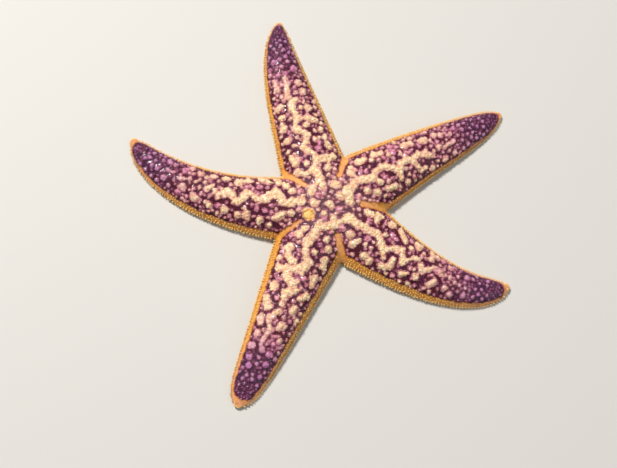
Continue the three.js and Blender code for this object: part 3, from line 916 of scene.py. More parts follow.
class Coat:
    """Many pegs joined into one mesh on one arm, each with its root's markings."""

    def __init__(self, name, arm, under=False):
        self.name = name
        self.arm = arm
        self.under = under
        self.rng = np.random.default_rng([SEED, *name.encode()])
        self.parts = []
        self.count = 0

    def add(self, shape, roots, axes, across, tall, rough=0.06):
        """Adds a peg at each root. across and tall are its size in mm, and rough its unevenness."""
        if not len(roots["place"]):
            return
        template, quads, triangles = shape
        count = len(roots["place"])
        across = np.broadcast_to(across, count)
        tall = np.broadcast_to(tall, count)
        shaken = template + self.rng.normal(0, rough, (count, *template.shape)) * (1, 1, 0.6)
        shaken *= np.stack([across, across, tall], axis=1)[:, None]
        frames = frames_for(axes, self.rng)
        vertices = roots["place"][:, None] + np.einsum("nvk,nkj->nvj", shaken, frames)
        vertices[..., 2] = np.maximum(vertices[..., 2], GROUND_ROOM)
        first = self.count + np.arange(count)[:, None, None] * len(template)
        rise = np.clip(template[:, 2], 0, 1)
        values = {name: np.repeat(roots[name], len(template)) for name in MARKS}
        values["rise"] = np.tile(rise, count)
        values["shade"] = np.repeat(self.rng.uniform(0, 1, count), len(template))
        flat = template[:, :2] * (1 - 0.8 * rise)[:, None]
        patch = self.roots_on_map(roots)[:, None] + TUFT_PATCH * flat
        self.parts.append((
            vertices.reshape(-1, 3),
            (quads + first).reshape(-1, 4),
            (triangles + first).reshape(-1, 3),
            values,
            patch.reshape(-1, 2),
        ))
        self.count += count * len(template)

    def roots_on_map(self, roots):
        s, d = self.arm.locate(roots["place"][:, :2])
        round_it = girth(self.arm, s, d, roots["place"][:, 2], self.under)
        return np.stack([(s + 6) / (STRIP_LENGTH + 8), 0.5 + 0.48 * round_it / STRIP_HALF], axis=1)

    def build(self, material):
        vertices, quads, triangles, values, patches = zip(*self.parts)
        quads = np.concatenate(quads)
        triangles = np.concatenate(triangles)
        mesh = make_mesh(self.name, np.concatenate(vertices), quads, triangles)
        set_values(mesh, {key: np.concatenate([v[key] for v in values]) for key in values[0]})
        patches = np.concatenate(patches)
        set_map(mesh, patches[np.concatenate([quads.ravel(), triangles.ravel()])])
        return add_object(mesh, material)


ROOTS_PER_SQUARE_MM = 9


def candidates(skin, per_square_mm, rng):
    """Random points all over the skin, with its values there."""
    quads = skin["quads"]
    corners = skin["place"][quads]
    first = np.cross(corners[:, 1] - corners[:, 0], corners[:, 2] - corners[:, 0])
    second = np.cross(corners[:, 2] - corners[:, 0], corners[:, 3] - corners[:, 0])
    area = 0.5 * (np.linalg.norm(first, axis=1) + np.linalg.norm(second, axis=1))
    face = np.repeat(np.arange(len(quads)), rng.poisson(area * per_square_mm))
    rng.shuffle(face)
    u, v = rng.uniform(0, 1, (2, len(face)))
    weights = np.stack([(1 - u) * (1 - v), u * (1 - v), u * v, (1 - u) * v], axis=1)
    found = {"owner": skin["owner"][quads[face, 0]]}
    for name in MARKS:
        found[name] = (skin[name][quads[face]] * weights).sum(axis=1)
    for name in ("place", "normal"):
        found[name] = (skin[name][quads[face]] * weights[..., None]).sum(axis=1)
    found["normal"] = unit(found["normal"])
    return found


def chosen(roots, which):
    return {name: numbers[which] for name, numbers in roots.items()}


def spread(roots, mask, spacing):
    """The roots where mask holds, thinned to a spacing in mm."""
    picked = chosen(roots, mask)
    picked["gap"] = np.broadcast_to(spacing, len(mask))[mask]
    return chosen(picked, np.array(thin(picked["place"], picked["gap"]), int))


def outward(arm, roots, lean):
    """The skin's normals, leaning by a share towards the arm's nearer edge."""
    s, d = arm.locate(roots["place"][:, :2])
    _, ahead = arm.point(s, np.zeros_like(s))
    left = np.column_stack([left_of(ahead), np.zeros(len(s))])
    return unit(roots["normal"] + lean * np.sign(d)[:, None] * left)


def scattered(axes, amount, rng):
    return unit(axes + rng.normal(0, amount, axes.shape))


# ---- Materials ----


def colour(red, green, blue):
    """A colour from its sRGB numbers."""
    shares = np.array([red, green, blue]) / 255
    linear = np.where(shares <= 0.04045, shares / 12.92, ((shares + 0.055) / 1.055) ** 2.4)
    return (*linear, 1.0)


CREAM = colour(255, 232, 192)
BUTTER = colour(255, 218, 146)
PEACH = colour(236, 168, 142)
BLUSH = colour(212, 136, 134)
PINK = colour(238, 162, 184)
ROSE = colour(182, 98, 128)
MAUVE = colour(138, 60, 88)
PLUM = colour(80, 9, 22)
VIOLET = colour(72, 12, 44)
DUSK = colour(42, 8, 50)
LILAC = colour(172, 114, 186)
ORCHID = colour(216, 156, 192)
GOLD = colour(240, 172, 70)
OCHRE = colour(204, 122, 42)
APRICOT = colour(232, 160, 122)
STRAW = colour(252, 222, 142)
SOLE_CREAM = colour(238, 202, 150)
DISC_GREY = colour(122, 88, 96)
RED = colour(190, 24, 14)
CORAL = colour(226, 120, 84)


class Tree:
    """Short calls that add nodes to a tree and link them."""

    def __init__(self, tree):
        self.tree = tree

    def node(self, kind, **settings):
        made = self.tree.nodes.new(f"ShaderNode{kind}")
        for name, value in settings.items():
            setattr(made, name, value)
        return made

    def put(self, socket, value):
        if isinstance(value, bpy.types.NodeSocket):
            self.tree.links.new(value, socket)
        else:
            socket.default_value = value

    def math(self, operation, *values, clamp=False):
        made = self.node("Math", operation=operation, use_clamp=clamp)
        for socket, value in zip(made.inputs, values):
            self.put(socket, value)
        return made.outputs[0]

    def mix(self, share, first, second):
        made = self.node("Mix", data_type="RGBA")
        self.put(made.inputs[0], share)
        self.put(made.inputs[6], first)
        self.put(made.inputs[7], second)
        return made.outputs[2]

    def step(self, value, low, high, most=1.0):
        """A share that goes smoothly from 0 to most as value goes from low to high."""
        made = self.node("MapRange", interpolation_type="SMOOTHSTEP")
        for index, number in enumerate((value, low, high, 0.0, most)):
            self.put(made.inputs[index], number)
        return made.outputs[0]

    def attribute(self, name):
        return self.node("Attribute", attribute_name=name).outputs["Fac"]

    def place(self):
        return self.node("TexCoord").outputs["Object"]

    def noise(self, size, detail=2.0, offset=0.0):
        """Noise from 0 to 1 with features of about size millimetres, moved by an offset in metres."""
        moved = self.node("VectorMath", operation="ADD")
        self.put(moved.inputs[0], self.place())
        moved.inputs[1].default_value = (offset, offset, offset)
        made = self.node("TexNoise")
        self.put(made.inputs["Vector"], moved.outputs[0])
        made.inputs["Scale"].default_value = 1 / (size * MM)
        made.inputs["Detail"].default_value = detail
        return made.outputs["Fac"]


def cream_colour(tree, edge, near, wide):
    """The cream patches: butter and peach in places, and pinker between their lumps, as painted shade where
    their domes come down, and round their rims.
    """
    cream = tree.mix(tree.step(near, 0.4, 0.75), CREAM, BUTTER)
    cream = tree.mix(tree.step(wide, 0.45, 0.75, 0.6), cream, PEACH)
    # painted shade: the colour turns pinker and darker between the lumps, where their domes meet
    gap = tree.step(tree.attribute("lump"), 0.35, 0.0, 0.6)
    rim = tree.step(edge, 0.8, 0.2, 0.4)
    between = tree.mix(tree.step(near, 0.4, 0.7), PEACH, BLUSH)
    return tree.mix(tree.math("MAXIMUM", gap, rim), cream, between)


def patch_colour(tree, edge, near, wide, along, far):
    """The patches and spots, cream to pink by their tint, bluer to the tips and golden by the sieve plate."""
    pink = tree.mix(tree.step(near, 0.35, 0.7), PINK, ROSE)
    patch = tree.mix(tree.attribute("tint"), cream_colour(tree, edge, near, wide), pink)
    patch = tree.mix(tree.math("MULTIPLY", far, 0.7), patch, LILAC)
    patch = tree.mix(tree.step(along, 0.94, 0.99, 0.6), patch, ORCHID)
    from_sieve = tree.node("VectorMath", operation="DISTANCE")
    tree.put(from_sieve.inputs[0], tree.place())
    from_sieve.inputs[1].default_value = in_frame(SIEVE_PLACE)
    return tree.mix(tree.step(from_sieve.outputs["Value"], 3.9 * MM, 2.8 * MM, 0.8), patch, GOLD)


def ground_colour(tree, wide, along, far):
    """The purple between the patches: darker and bluer to the tips, with broad blue-violet patches, the blue
    in part a painted sky sheen; greyer on the disc, with pale specks and grains.
    """
    # wine-red and blue-violet in broad patches: partly the skin's own uneven tone, partly a painted sky sheen
    ground = tree.mix(tree.step(wide, 0.35, 0.65), PLUM, VIOLET)
    # darker and bluer to the tips: the blue partly a painted sky sheen
    ground = tree.mix(tree.math("MULTIPLY", far, 0.75), ground, DUSK)
    speck = tree.step(tree.noise(0.55, offset=0.6), 0.52, 0.72, tree.math("MULTIPLY_ADD", far, -0.2, 0.45))
    ground = tree.mix(speck, ground, tree.mix(far, MAUVE, LILAC))
    ground = tree.mix(tree.step(along, 0.22, 0.06, 0.6), ground, DISC_GREY)
    grains = tree.math("MULTIPLY_ADD", far, 0.25, 0.12)
    return tree.mix(tree.step(tree.noise(0.3, offset=0.75), 0.56, 0.7, grains), ground, ORCHID)


def margin_colour(tree, along):
    """The orange margin: paler to the tips and in the creases, and cream below."""
    margin = tree.mix(tree.step(tree.noise(1.6, offset=0.9), 0.42, 0.68, 0.7), GOLD, OCHRE)
    margin = tree.mix(tree.step(along, 0.6, 0.94, 0.8), margin, APRICOT)
    margin = tree.mix(tree.step(along, 0.24, 0.14, 0.4), margin, PEACH)
    return tree.mix(tree.attribute("under"), margin, SOLE_CREAM)


def markings_group():
    """The one pattern that skin and coat share, as a node group that gives the colour."""
    group = bpy.data.node_groups.new("markings", "ShaderNodeTree")
    group.interface.new_socket("Colour", in_out="OUTPUT", socket_type="NodeSocketColor")
    tree = Tree(group)
    along = tree.attribute("along")
    wobble = tree.math("SUBTRACT", tree.noise(0.6), 0.5)
    edge = tree.math("ADD", tree.attribute("blotch"), tree.math("MULTIPLY", wobble, 0.6))
    wide = tree.noise(4.5, offset=0.3)
    near = tree.noise(1.8, offset=0.45)
    far = tree.step(along, 0.62, 0.85)

    patch = patch_colour(tree, edge, near, wide, along, far)
    ground = ground_colour(tree, wide, along, far)
    brink = tree.mix(0.5, ground, tree.mix(far, ROSE, MAUVE))
    pattern = tree.mix(tree.step(edge, -0.75, 0.0), ground, brink)
    pattern = tree.mix(tree.step(edge, -0.25, 0.45), pattern, patch)

    orange = tree.math("ADD", tree.attribute("orange"), wobble)
    rust = tree.mix(tree.step(orange, 0.1, 0.9), OCHRE, margin_colour(tree, along))
    result = tree.mix(tree.step(orange, -0.3, 0.3), pattern, rust)

    end = group.nodes.new("NodeGroupOutput")
    group.links.new(result, end.inputs[0])
    return group


MARKINGS = markings_group()


def wet_material(name, roughness, coat, soft, bumps, tone=None):
    """A wet material in the shared markings. tone changes the colour, and bumps are (size, height) in mm."""
    material = bpy.data.materials.new(name)
    material.use_nodes = True
    tree = Tree(material.node_tree)
    shader = material.node_tree.nodes["Principled BSDF"]
    pattern = tree.node("Group", node_tree=MARKINGS).outputs[0]
    tree.put(shader.inputs["Base Color"], tone(tree, pattern) if tone else pattern)
    dull = tree.step(tree.noise(1.4, offset=1.7), 0.3, 0.7)
    tree.put(shader.inputs["Roughness"], tree.math("MULTIPLY_ADD", dull, 0.25, roughness))
    shader.inputs["Specular IOR Level"].default_value = 0.15
    shader.inputs["Coat Weight"].default_value = coat
    shader.inputs["Coat Roughness"].default_value = 0.06
    shader.inputs["Subsurface Weight"].default_value = soft
    shader.inputs["Subsurface Radius"].default_value = (1.0, 0.45, 0.3)
    shader.inputs["Subsurface Scale"].default_value = 0.8 * MM
    height = None
    for size, tall in bumps:
        part = tree.math("MULTIPLY", tree.noise(size, 3.0, offset=size), tall * MM)
        height = part if height is None else tree.math("ADD", height, part)
    bump = tree.node("Bump")
    bump.inputs["Distance"].default_value = 1.0
    bump.inputs["Strength"].default_value = 0.8
    tree.put(bump.inputs["Height"], height)
    tree.put(shader.inputs["Normal"], bump.outputs[0])
    return material


def lighter_tips(share, tip):
    """Turns the colour towards tip on the way up each peg, by a share at most."""

    def tone(tree, pattern):
        return tree.mix(tree.step(tree.attribute("rise"), 0.1, 1.0, share), pattern, tip)

    return tone


def varied(amount, other, few=0.0):
    """Turns the colour of some pegs towards another, and of a few towards ORCHID."""

    def tone(tree, pattern):
        shade = tree.attribute("shade")
        mixed = tree.mix(tree.math("MULTIPLY", shade, amount), pattern, other)
        return tree.mix(tree.step(shade, 0.7, 1.0, few), mixed, ORCHID)

    return tone


def relief_colours(low, high):
    """The colours of a piece of its own, by its relief."""

    def tone(tree, pattern):
        return tree.mix(tree.attribute("relief"), low, high)

    return tone


# Each material's roughness, wet coat, softness, bumps and tone.
FINISHES = {
    "skin": (0.34, 0.5, 0.08, [(1.3, 0.25), (0.5, 0.12), (0.22, 0.05)]),
    "tubercles": (0.36, 0.3, 0.2, [(0.3, 0.05)], varied(0.25, BLUSH)),
    "papulae": (0.25, 0.9, 0.15, [(0.3, 0.03)], varied(0.35, MAUVE, 0.35)),
    "margin_spines": (0.36, 0.3, 0.08, [(0.3, 0.04)], lighter_tips(0.85, STRAW)),
    "underside_spines": (0.4, 0.2, 0.08, [(0.3, 0.04)], lighter_tips(0.3, CREAM)),
    "tube_feet": (0.25, 0.5, 0.2, [(0.35, 0.05)], lighter_tips(0.4, GOLD)),
    # the sieve plate turns golden and darker in its furrows: painted shade
    "sieve_plate": (0.4, 0.3, 0.1, [(0.3, 0.03)], relief_colours(STRAW, GOLD)),
    # the mouth's membrane turns peach and darker in its folds' valleys: painted shade
    "mouth_membrane": (0.3, 0.5, 0.3, [(0.4, 0.05)], relief_colours(SOLE_CREAM, PEACH)),
    "eye": (0.3, 0.6, 0.1, [(0.3, 0.01)], relief_colours(CORAL, RED)),
}


# ---- Coat pieces on each arm ----

# How far apart the tufts stand, in mm, before they grow smaller towards the tip.
TUBERCLE_GAPS = (0.75, 1.4)
BLUNT_SPINE_GAP = 1.8
PAPULA_GAP = 0.9
MARGIN_GAP = 1.3
SOLE_GAP = 1.75
LINING_GAP = 0.95
FOOT_GAP = 2.1
FRINGE_GAP = 1.5
FRINGE_FROM = 26  # mm along the arm
FRINGE_WIDTH = 0.46
# The fringe's rows: height as a share of the widest level's, how far the spines droop, and their reach.
FRINGE_ROWS = [(1.25, 0.15, 1.1), (0.8, 0, 1.05), (0.3, -0.3, 0.8)]
# The fans round the tip: height as a share of the tip's, number of spines, and droop.
TIP_FANS = [(1.0, 9, -0.25), (0.45, 11, 0.0)]
FAN_FROM_TIP = 3.2
FAN_RADIUS = 1.2
# The mouth spines on each jaw: six in front and three behind them, as (degrees, radius).
JAW_SPINES = [
    *((turn, 7.4) for turn in (-17, -10.5, -4, 4, 10.5, 17)),
    *((turn, 9.2) for turn in (-12, 0, 12)),
]
FOOT_ROWS = (-0.66, -0.24, 0.24, 0.66)  # across the groove, as shares of its half-width


def top_coat(arm, roots, materials):
    """Cream tubercles and blunt spines in the patches, and soft papulae between them."""
    upper = (roots["normal"][:, 2] > -0.05) & (roots["orange"] < 0.1)
    clear = np.hypot(*(roots["place"] - SIEVE_PLACE)[:, :2].T) > SIEVE_RADIUS + 0.25
    patch = upper & clear & (roots["blotch"] > -0.05)
    ground = upper & clear & (roots["blotch"] < -0.15)
    small = 1 - 0.4 * smooth_step(0.5, 1, roots["along"])

    tubercles = Coat(f"tubercles_{arm.name}", arm)
    rng = tubercles.rng
    found = spread(roots, patch, small * rng.uniform(*TUBERCLE_GAPS, len(small)))
    tall = found["gap"] * rng.uniform(0.15, 0.27, len(found["gap"]))
    tubercles.add(TUBERCLE, found, scattered(found["normal"], 0.1, rng), 0.6 * found["gap"], tall)
    spines = spread(roots, upper & clear & (roots["lump"] > 0.8), BLUNT_SPINE_GAP * small)
    size = 1 - 0.5 * smooth_step(0.4, 1, spines["along"])
    axes = scattered(outward(arm, spines, 0.15), 0.12, rng)
    tubercles.add(BLUNT_SPINE, spines, axes, 0.32 * size, rng.uniform(0.4, 0.62, len(size)) * size)
    tubercles.build(materials["tubercles"])

    papulae = Coat(f"papulae_{arm.name}", arm)
    found = spread(roots, ground, PAPULA_GAP * small)
    rng = papulae.rng
    axes = scattered(found["normal"], 0.25, rng)
    across = found["gap"] * rng.uniform(0.3, 0.45, len(axes))
    papulae.add(PAPULA, found, axes, across, found["gap"] * rng.uniform(0.35, 0.7, len(axes)))
    papulae.build(materials["papulae"])


def edge_places(arm, s, level_share, side):
    """Roots on the arm's edge, at a share of the widest level's height, with the outward direction."""
    zero = np.zeros_like(s)
    _, half, _, level, sole, lift = arm.section(s, zero)
    z = lift + sole + (level - sole) * level_share
    xy, ahead = arm.point(s, side * half)
    start = np.column_stack([xy, z])
    return settle(start, 3)[0], np.column_stack([side * left_of(ahead), zero])


def edge_roots(arm, s, level_share, side):
    """Those places that lie on this arm's own edge, and not inside its neighbour, with their markings."""
    places, out = edge_places(arm, s, level_share, side)
    out_there = places + 1.5 * out
    free = depth_of(out_there) < -1.1
    return marked_roots(places[free], s[free] / arm.length, 0.0), out[free]


def marked_roots(places, along, under):
    """Roots of spines that stand on the orange margin or the underside, with the marks of their place."""
    count = len(places)
    return {
        "place": places,
        "blotch": np.full(count, -3.0),
        "tint": np.zeros(count),
        "lump": np.zeros(count),
        "orange": np.full(count, 3.0),
        "along": along,
        "under": np.full(count, under),
    }


def tip_roots(arm, share, count):
    """Roots round the arm's tip at a share of the way up it, with directions that fan out from there."""
    turns = np.radians(np.linspace(-85, 85, count))
    s = arm.length - FAN_FROM_TIP + FAN_RADIUS * np.cos(turns)
    d = FAN_RADIUS * np.sin(turns)
    xy, ahead = arm.point(s, d)
    lift = lift_at(s / arm.length)
    z = lift + share * (arm.top_at(s, d) - lift)
    places = settle(np.column_stack([xy, z]), 3)[0]
    out = np.cos(turns)[:, None] * ahead + np.sin(turns)[:, None] * left_of(ahead)
    return marked_roots(places, s / arm.length, 0.0), np.column_stack([out, np.zeros(count)])


def margin_coat(arm, roots, materials):
    """Short spinelets all over the orange margin, and three rows of longer spines that fringe the outline."""
    margin = Coat(f"margin_spines_{arm.name}", arm)
    rng = margin.rng
    crease = crease_depth(*roots["place"][:, :2].T)
    on_margin = (roots["orange"] > 0.1) & (roots["under"] < 0.5) & (crease < -0.4)
    found = spread(roots, on_margin, MARGIN_GAP - 0.4 * smooth_step(0.5, 1, roots["along"]))
    size = 1 - 0.4 * smooth_step(0.5, 1, found["along"])
    axes = scattered(outward(arm, found, 0.25), 0.15, rng)
    margin.add(BLUNT_SPINE, found, axes, 0.4 * size, rng.uniform(0.5, 0.8, len(size)) * size)
    for side in (-1, 1):
        for row, (level_share, droop, reach) in enumerate(FRINGE_ROWS):
            s = np.arange(FRINGE_FROM + 0.15 * row, arm.length - TIP_COAT - 0.6, FRINGE_GAP)
            s = s + rng.uniform(-0.25, 0.25, len(s))
            edge, out = edge_roots(arm, s, level_share, side)
            outer = arm.outer_half_width(edge["along"])
            span = np.minimum(SPINE_REACH, 0.3 * outer) + SIDE_COAT
            tall = reach * span * rng.uniform(0.85, 1.0, len(span))
            axes = scattered(unit(out + [0, 0, droop]), 0.06, rng)
            margin.add(FLAT_SPINE, edge, axes, FRINGE_WIDTH - 0.14 * edge["along"], tall)
    for share, count, droop in TIP_FANS:
        fan, out = tip_roots(arm, share, count)
        tall = 1.35 * rng.uniform(0.85, 1.0, count)
        margin.add(FLAT_SPINE, fan, scattered(unit(out + [0, 0, droop]), 0.05, rng), 0.42, tall)
    margin.build(materials["margin_spines"])


def jaw_roots(arm):
    """Roots of the mouth spines on the jaw to the arm's left, with the direction of the mouth's middle."""
    heading = CREASES[ARMS.index(arm)][0]
    turns, radius = np.array(JAW_SPINES).T
    turns = np.radians(heading + turns)
    out = np.column_stack([np.cos(turns), np.sin(turns), np.zeros(len(turns))])
    places = settle(radius[:, None] * out + [0, 0, SOLE + 0.1], 3)[0]
    return marked_roots(places, np.zeros(len(places)), 1.0), -out


def sole_coat(arm, roots, materials):
    """The underside's spines: short ones all over it, and a denser row that leans over the groove."""
    under = Coat(f"underside_spines_{arm.name}", arm, under=True)
    rng = under.rng
    s, d = arm.locate(roots["place"][:, :2])
    t = np.clip(s / arm.length, 0, 1)
    beside = np.abs(d) - groove_half_width(t)
    down = roots["normal"][:, 2] < -0.35
    found = spread(roots, down & (beside > 1.7), SOLE_GAP - 0.7 * t)
    axes = scattered(outward(arm, found, 0.5), 0.1, rng)
    room = found["place"][:, 2] - lift_at(found["along"])
    tall = np.clip(0.97 * room / np.maximum(-axes[:, 2], 0.3), 0.3, 1.6)
    under.add(BLUNT_SPINE, found, axes, 0.42 - 0.15 * found["along"], tall)
    by_groove = (roots["normal"][:, 2] < 0.1) & (beside > -0.7) & (beside <= 1.6)
    lining = spread(roots, by_groove, LINING_GAP - 0.3 * t)
    axes = scattered(outward(arm, lining, -0.9), 0.08, rng)
    room = lining["place"][:, 2] - lift_at(lining["along"])
    tall = np.clip(0.9 * room / np.maximum(-axes[:, 2], 0.3), 0.3, 2.2)
    under.add(FLAT_SPINE, lining, axes, 0.3 - 0.12 * lining["along"], tall)
    jaw, inward = jaw_roots(arm)
    axes = scattered(unit(inward + [0, 0, -0.12]), 0.05, rng)
    under.add(FLAT_SPINE, jaw, axes, 0.5, 3.0 * rng.uniform(0.8, 1.0, len(axes)))
    under.build(materials["underside_spines"])


def foot_roots(arm, rng):
    """Roots of the tube feet in the roof of the groove, in four rows, and how far each reaches down."""
    s, d = [], []
    for row, share in enumerate(FOOT_ROWS):
        along = np.arange(7.5 + FOOT_GAP * 0.5 * (row % 2), 0.93 * arm.length, FOOT_GAP)
        groove = GROOVE_HALF_WIDTH * (1 - GROOVE_TAPER * along / arm.length)
        s.append(along)
        d.append(share * groove)
    s = np.concatenate(s)
    d = np.concatenate(d) + rng.uniform(-0.15, 0.15, len(s))
    t = s / arm.length
    roof = lift_at(t) + groove_depth(t) * np.sqrt(1 - (d / groove_half_width(t)) ** 2)
    xy, _ = arm.point(s, d)
    return np.column_stack([xy, roof]), t, roof - lift_at(t)


def tube_feet(arm, materials):
    feet = Coat(f"tube_feet_{arm.name}", arm, under=True)
    rng = feet.rng
    places, t, room = foot_roots(arm, rng)
    count = len(places)
    roots = marked_roots(places, t, 1.0)
    axes = scattered(np.tile([0, 0, -1.0], (count, 1)), 0.09, rng)
    tall = (room - 0.35) * rng.uniform(0.86, 1.0, count)
    feet.add(TUBE_FOOT, roots, axes, 0.62 * (1 - 0.5 * t), tall, rough=0.03)
    feet.build(materials["tube_feet"])


# ---- Pieces of the disc and the tips ----


def turned(round_it, loop):
    """A ring whose section is a closed loop of (radius, height), as vertices and quads."""
    turns = np.arange(round_it) * 2 * np.pi / round_it
    radii, heights = np.array(loop, float).T
    vertices = np.stack([
        np.outer(np.cos(turns), radii),
        np.outer(np.sin(turns), radii),
        np.tile(heights, (round_it, 1)),
    ], axis=-1)
    here = np.arange(round_it * len(loop)).reshape(round_it, len(loop))
    ahead = np.roll(here, -1, axis=0)
    quads = np.stack([here, ahead, np.roll(ahead, -1, axis=1), np.roll(here, -1, axis=1)], axis=-1)
    return vertices.reshape(-1, 3), quads.reshape(-1, 4)


def add_detail(name, node, shape, relief, material):
    """A detailed piece in place of a plain one of the CAD model. relief colours its furrows or bumps: painted
    shade in the sieve plate's furrows and the mouth's folds, and the eyespot's own red cups.
    """
    mesh = make_mesh(name, *shape)
    set_values(mesh, {"relief": relief})
    add_object(mesh, material, [node])


def add_sieve_plate(material):
    """A dome with winding furrows that run out from its middle."""
    sides, rows = 168, 26
    middle, tall = 0.35 * (SIEVE_HIGH - SIEVE_LOW), SIEVE_HIGH - SIEVE_LOW
    profile = [(SIEVE_RADIUS, 0)]
    for a in np.radians(np.linspace(0, 90, rows)):
        profile.append((SIEVE_RADIUS * np.cos(a), middle + (tall - middle) * np.sin(a)))
    profile[-1] = (0, tall)
    vertices, quads, triangles = peg(sides, profile)
    radius = np.hypot(vertices[:, 0], vertices[:, 1])
    turn = np.arctan2(vertices[:, 1], vertices[:, 0])
    wander = lattice_noise(vertices + 40, 1.3, 7)
    winding = np.cos(21 * turn + 2.6 * wander)
    split = np.cos(42 * turn + 2.6 * wander)
    furrow = smooth_step(0.3, 0.9, radius) * np.where(radius > 1.5, 0.5 * (winding + split), winding)
    on_top = smooth_step(0.2, 0.5, vertices[:, 2] / tall)
    # relief is 1 in the furrows: painted shade, darker there
    relief = on_top * smooth_step(-0.2, 0.8, furrow)
    vertices *= (1 - 0.07 * relief * smooth_step(0.2, 0.5, radius))[:, None]
    vertices += SIEVE_PLACE * (1, 1, 0) + [0, 0, SIEVE_LOW]
    add_detail("madreporite", "sieve_plate", (vertices, quads, triangles), relief, material)


def add_mouth(material):
    """The mouth's membrane: a soft ring, drawn into folds round the opening."""
    outer, inner, folds = 6.2, 1.5, 22
    middle = 0.5 * (MOUTH_LOW + MOUTH_HIGH)
    swing = np.arange(28) * 2 * np.pi / 28
    across = 0.5 * (outer + inner) - 0.5 * (outer - inner) * np.cos(swing)
    vertices, quads = turned(264, np.stack([across, 0.5 * np.sin(swing)], axis=1))
    radius = np.hypot(vertices[:, 0], vertices[:, 1])
    turn = np.arctan2(vertices[:, 1], vertices[:, 0])
    near_lip = smooth_step(outer - 0.3, inner + 0.6, radius)
    fold = np.cos(folds * turn + 0.8 * lattice_noise(vertices, 2.2, 8))
    vertices[:, 2] += middle + near_lip * (0.2 * fold - 0.15)
    vertices[:, :2] *= (1 + 0.1 * near_lip * fold)[:, None]
    # relief is highest in the folds' valleys: painted shade, darker there
    relief = 0.5 - 0.5 * fold * near_lip
    add_detail("mouth_membrane", "mouth", (vertices, quads), relief, material)


def add_eyespot(arm, material):
    """A small cushion under the arm's tip, closely set with red eye cups."""
    sides, rows, cups = 36, 22, 26
    angles = np.radians(np.linspace(-80, 90, rows))
    profile = [(np.cos(a), np.sin(a)) for a in angles]
    profile[-1] = (0, 1)
    vertices, quads, triangles = peg(sides, profile)
    k = np.arange(cups) + 0.5
    level = 1 - 2 * k / cups
    spiral = np.pi * (1 + 5**0.5) * k
    wide = np.sqrt(1 - level**2)
    middles = np.stack([wide * np.cos(spiral), wide * np.sin(spiral), level], axis=1)
    near = (vertices @ middles.T).max(axis=1)
    relief = smooth_step(0.94, 0.985, near)
    vertices *= (0.8 * EYE_RADIUS * (1 + 0.1 * relief))[:, None]
    vertices += EYES[arm.name] - [0, 0, 0.12]
    vertices[:, 2] = np.maximum(vertices[:, 2], GROUND_ROOM)
    shape = (vertices, quads, triangles)
    add_detail(f"eyespot_{arm.name}", f"eye_{arm.name}", shape, relief, material)


def build_everything():
    skin = make_skin()
    materials = {name: wet_material(name, *row) for name, row in FINISHES.items()}
    mesh = make_mesh("skin", skin["place"], skin["quads"])
    set_values(mesh, {name: skin[name] for name in MARKS})
    set_map(mesh, skin_corners(skin))
    flesh = ["disc"] + [f"arm_{arm.name}_{part}" for arm in ARMS for part in ("base", "middle", "tip")]
    add_object(mesh, materials["skin"], flesh)
    roots = candidates(skin, ROOTS_PER_SQUARE_MM, np.random.default_rng([SEED, 99]))
    for index, arm in enumerate(ARMS):
        mine = chosen(roots, roots["owner"] == index)
        top_coat(arm, mine, materials)
        margin_coat(arm, mine, materials)
        sole_coat(arm, mine, materials)
        tube_feet(arm, materials)
        add_eyespot(arm, materials["eye"])
    add_sieve_plate(materials["sieve_plate"])
    add_mouth(materials["mouth_membrane"])


# ---- The camera, the floor and the lights ----

CAMERA_AZIMUTH = -27
CAMERA_ELEVATION = 73
CAMERA_DISTANCE = 562.5
CAMERA_LENS = 60
AIM = np.array([-9.2, -13.89, 0])  # from the middle of the disc, in mm


def add_camera():
    azimuth, elevation = np.radians([CAMERA_AZIMUTH, CAMERA_ELEVATION])
    back = np.array([
        np.sin(azimuth) * np.cos(elevation),
        -np.cos(azimuth) * np.cos(elevation),
        np.sin(elevation),
    ])
    up = unit(np.array([0, 1, 0]) - back[1] * back)
    right = np.cross(up, back)
    camera = put_in_scene("camera", bpy.data.cameras.new("camera"))
    camera.data.lens = CAMERA_LENS
    camera.data.clip_start = 0.01
    turn = Matrix(np.column_stack([right, up, back]).tolist()).to_4x4()
    camera.matrix_world = Matrix.Translation(in_frame(AIM + CAMERA_DISTANCE * back)) @ turn
    bpy.context.scene.camera = camera
    return right, up


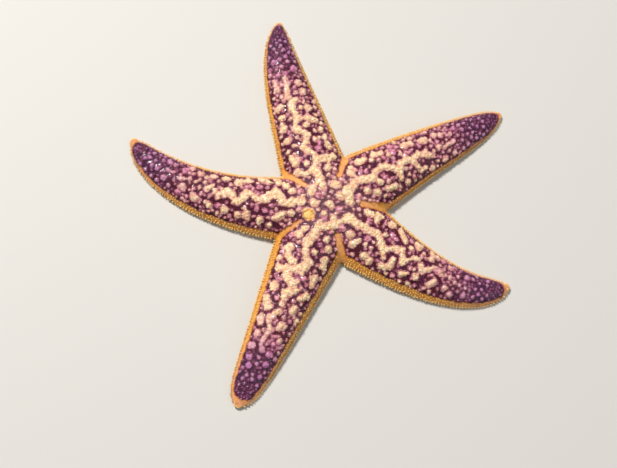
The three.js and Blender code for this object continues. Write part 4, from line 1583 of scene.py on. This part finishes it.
# Lights: power in watts, side and distance in metres, and tint.
KEY = (40.0, 0.26, 1.9, (1.0, 0.97, 0.92))
FILL = (1.9, 0.8, 1.2, (0.97, 0.98, 0.98))
KEY_ELEVATION = np.radians(56)
SKY_TINT = (0.95, 0.97, 1.0, 1.0)
SKY_STRENGTH = 0.22
FLOOR_REACH = 3.0
FLOOR_TINT = colour(214, 212, 208)


def add_light(name, direction, power, side, distance, tint):
    """A square soft light that looks at the animal from a direction."""
    data = bpy.data.lights.new(name, "AREA")
    data.energy = power
    data.size = side
    data.color = tint
    light = put_in_scene(name, data)
    towards = Vector(unit(np.array(direction, float)))
    light.location = towards * distance
    light.rotation_mode = "QUATERNION"
    light.rotation_quaternion = towards.to_track_quat("Z", "Y")


def add_floor():
    mesh = bpy.data.meshes.new("floor")
    corners = [(x * FLOOR_REACH, y * FLOOR_REACH, 0) for x, y in ((-1, -1), (1, -1), (1, 1), (-1, 1))]
    mesh.from_pydata(corners, [], [(0, 1, 2, 3)])
    put_in_scene("floor", mesh)
    material = bpy.data.materials.new("floor")
    material.use_nodes = True
    shader = material.node_tree.nodes["Principled BSDF"]
    shader.inputs["Base Color"].default_value = FLOOR_TINT
    shader.inputs["Roughness"].default_value = 0.7
    mesh.materials.append(material)


def add_stage(right, up):
    """The floor, a key light from the picture's upper left, a fill light from its lower right, and a sky."""
    add_floor()
    flat_up = unit(up * (1, 1, 0))
    key_side = unit(0.75 * flat_up - 0.66 * right)
    add_light("key", key_side * np.cos(KEY_ELEVATION) + [0, 0, np.sin(KEY_ELEVATION)], *KEY)
    add_light("fill", 0.9 * right - 0.6 * flat_up + [0, 0, 0.85], *FILL)
    world = bpy.data.worlds.new("studio")
    bpy.context.scene.world = world
    world.use_nodes = True
    sky = world.node_tree.nodes["Background"]
    sky.inputs["Color"].default_value = SKY_TINT
    sky.inputs["Strength"].default_value = SKY_STRENGTH
    bpy.context.scene.view_settings.view_transform = "Standard"


add_stage(*add_camera())
build_everything()
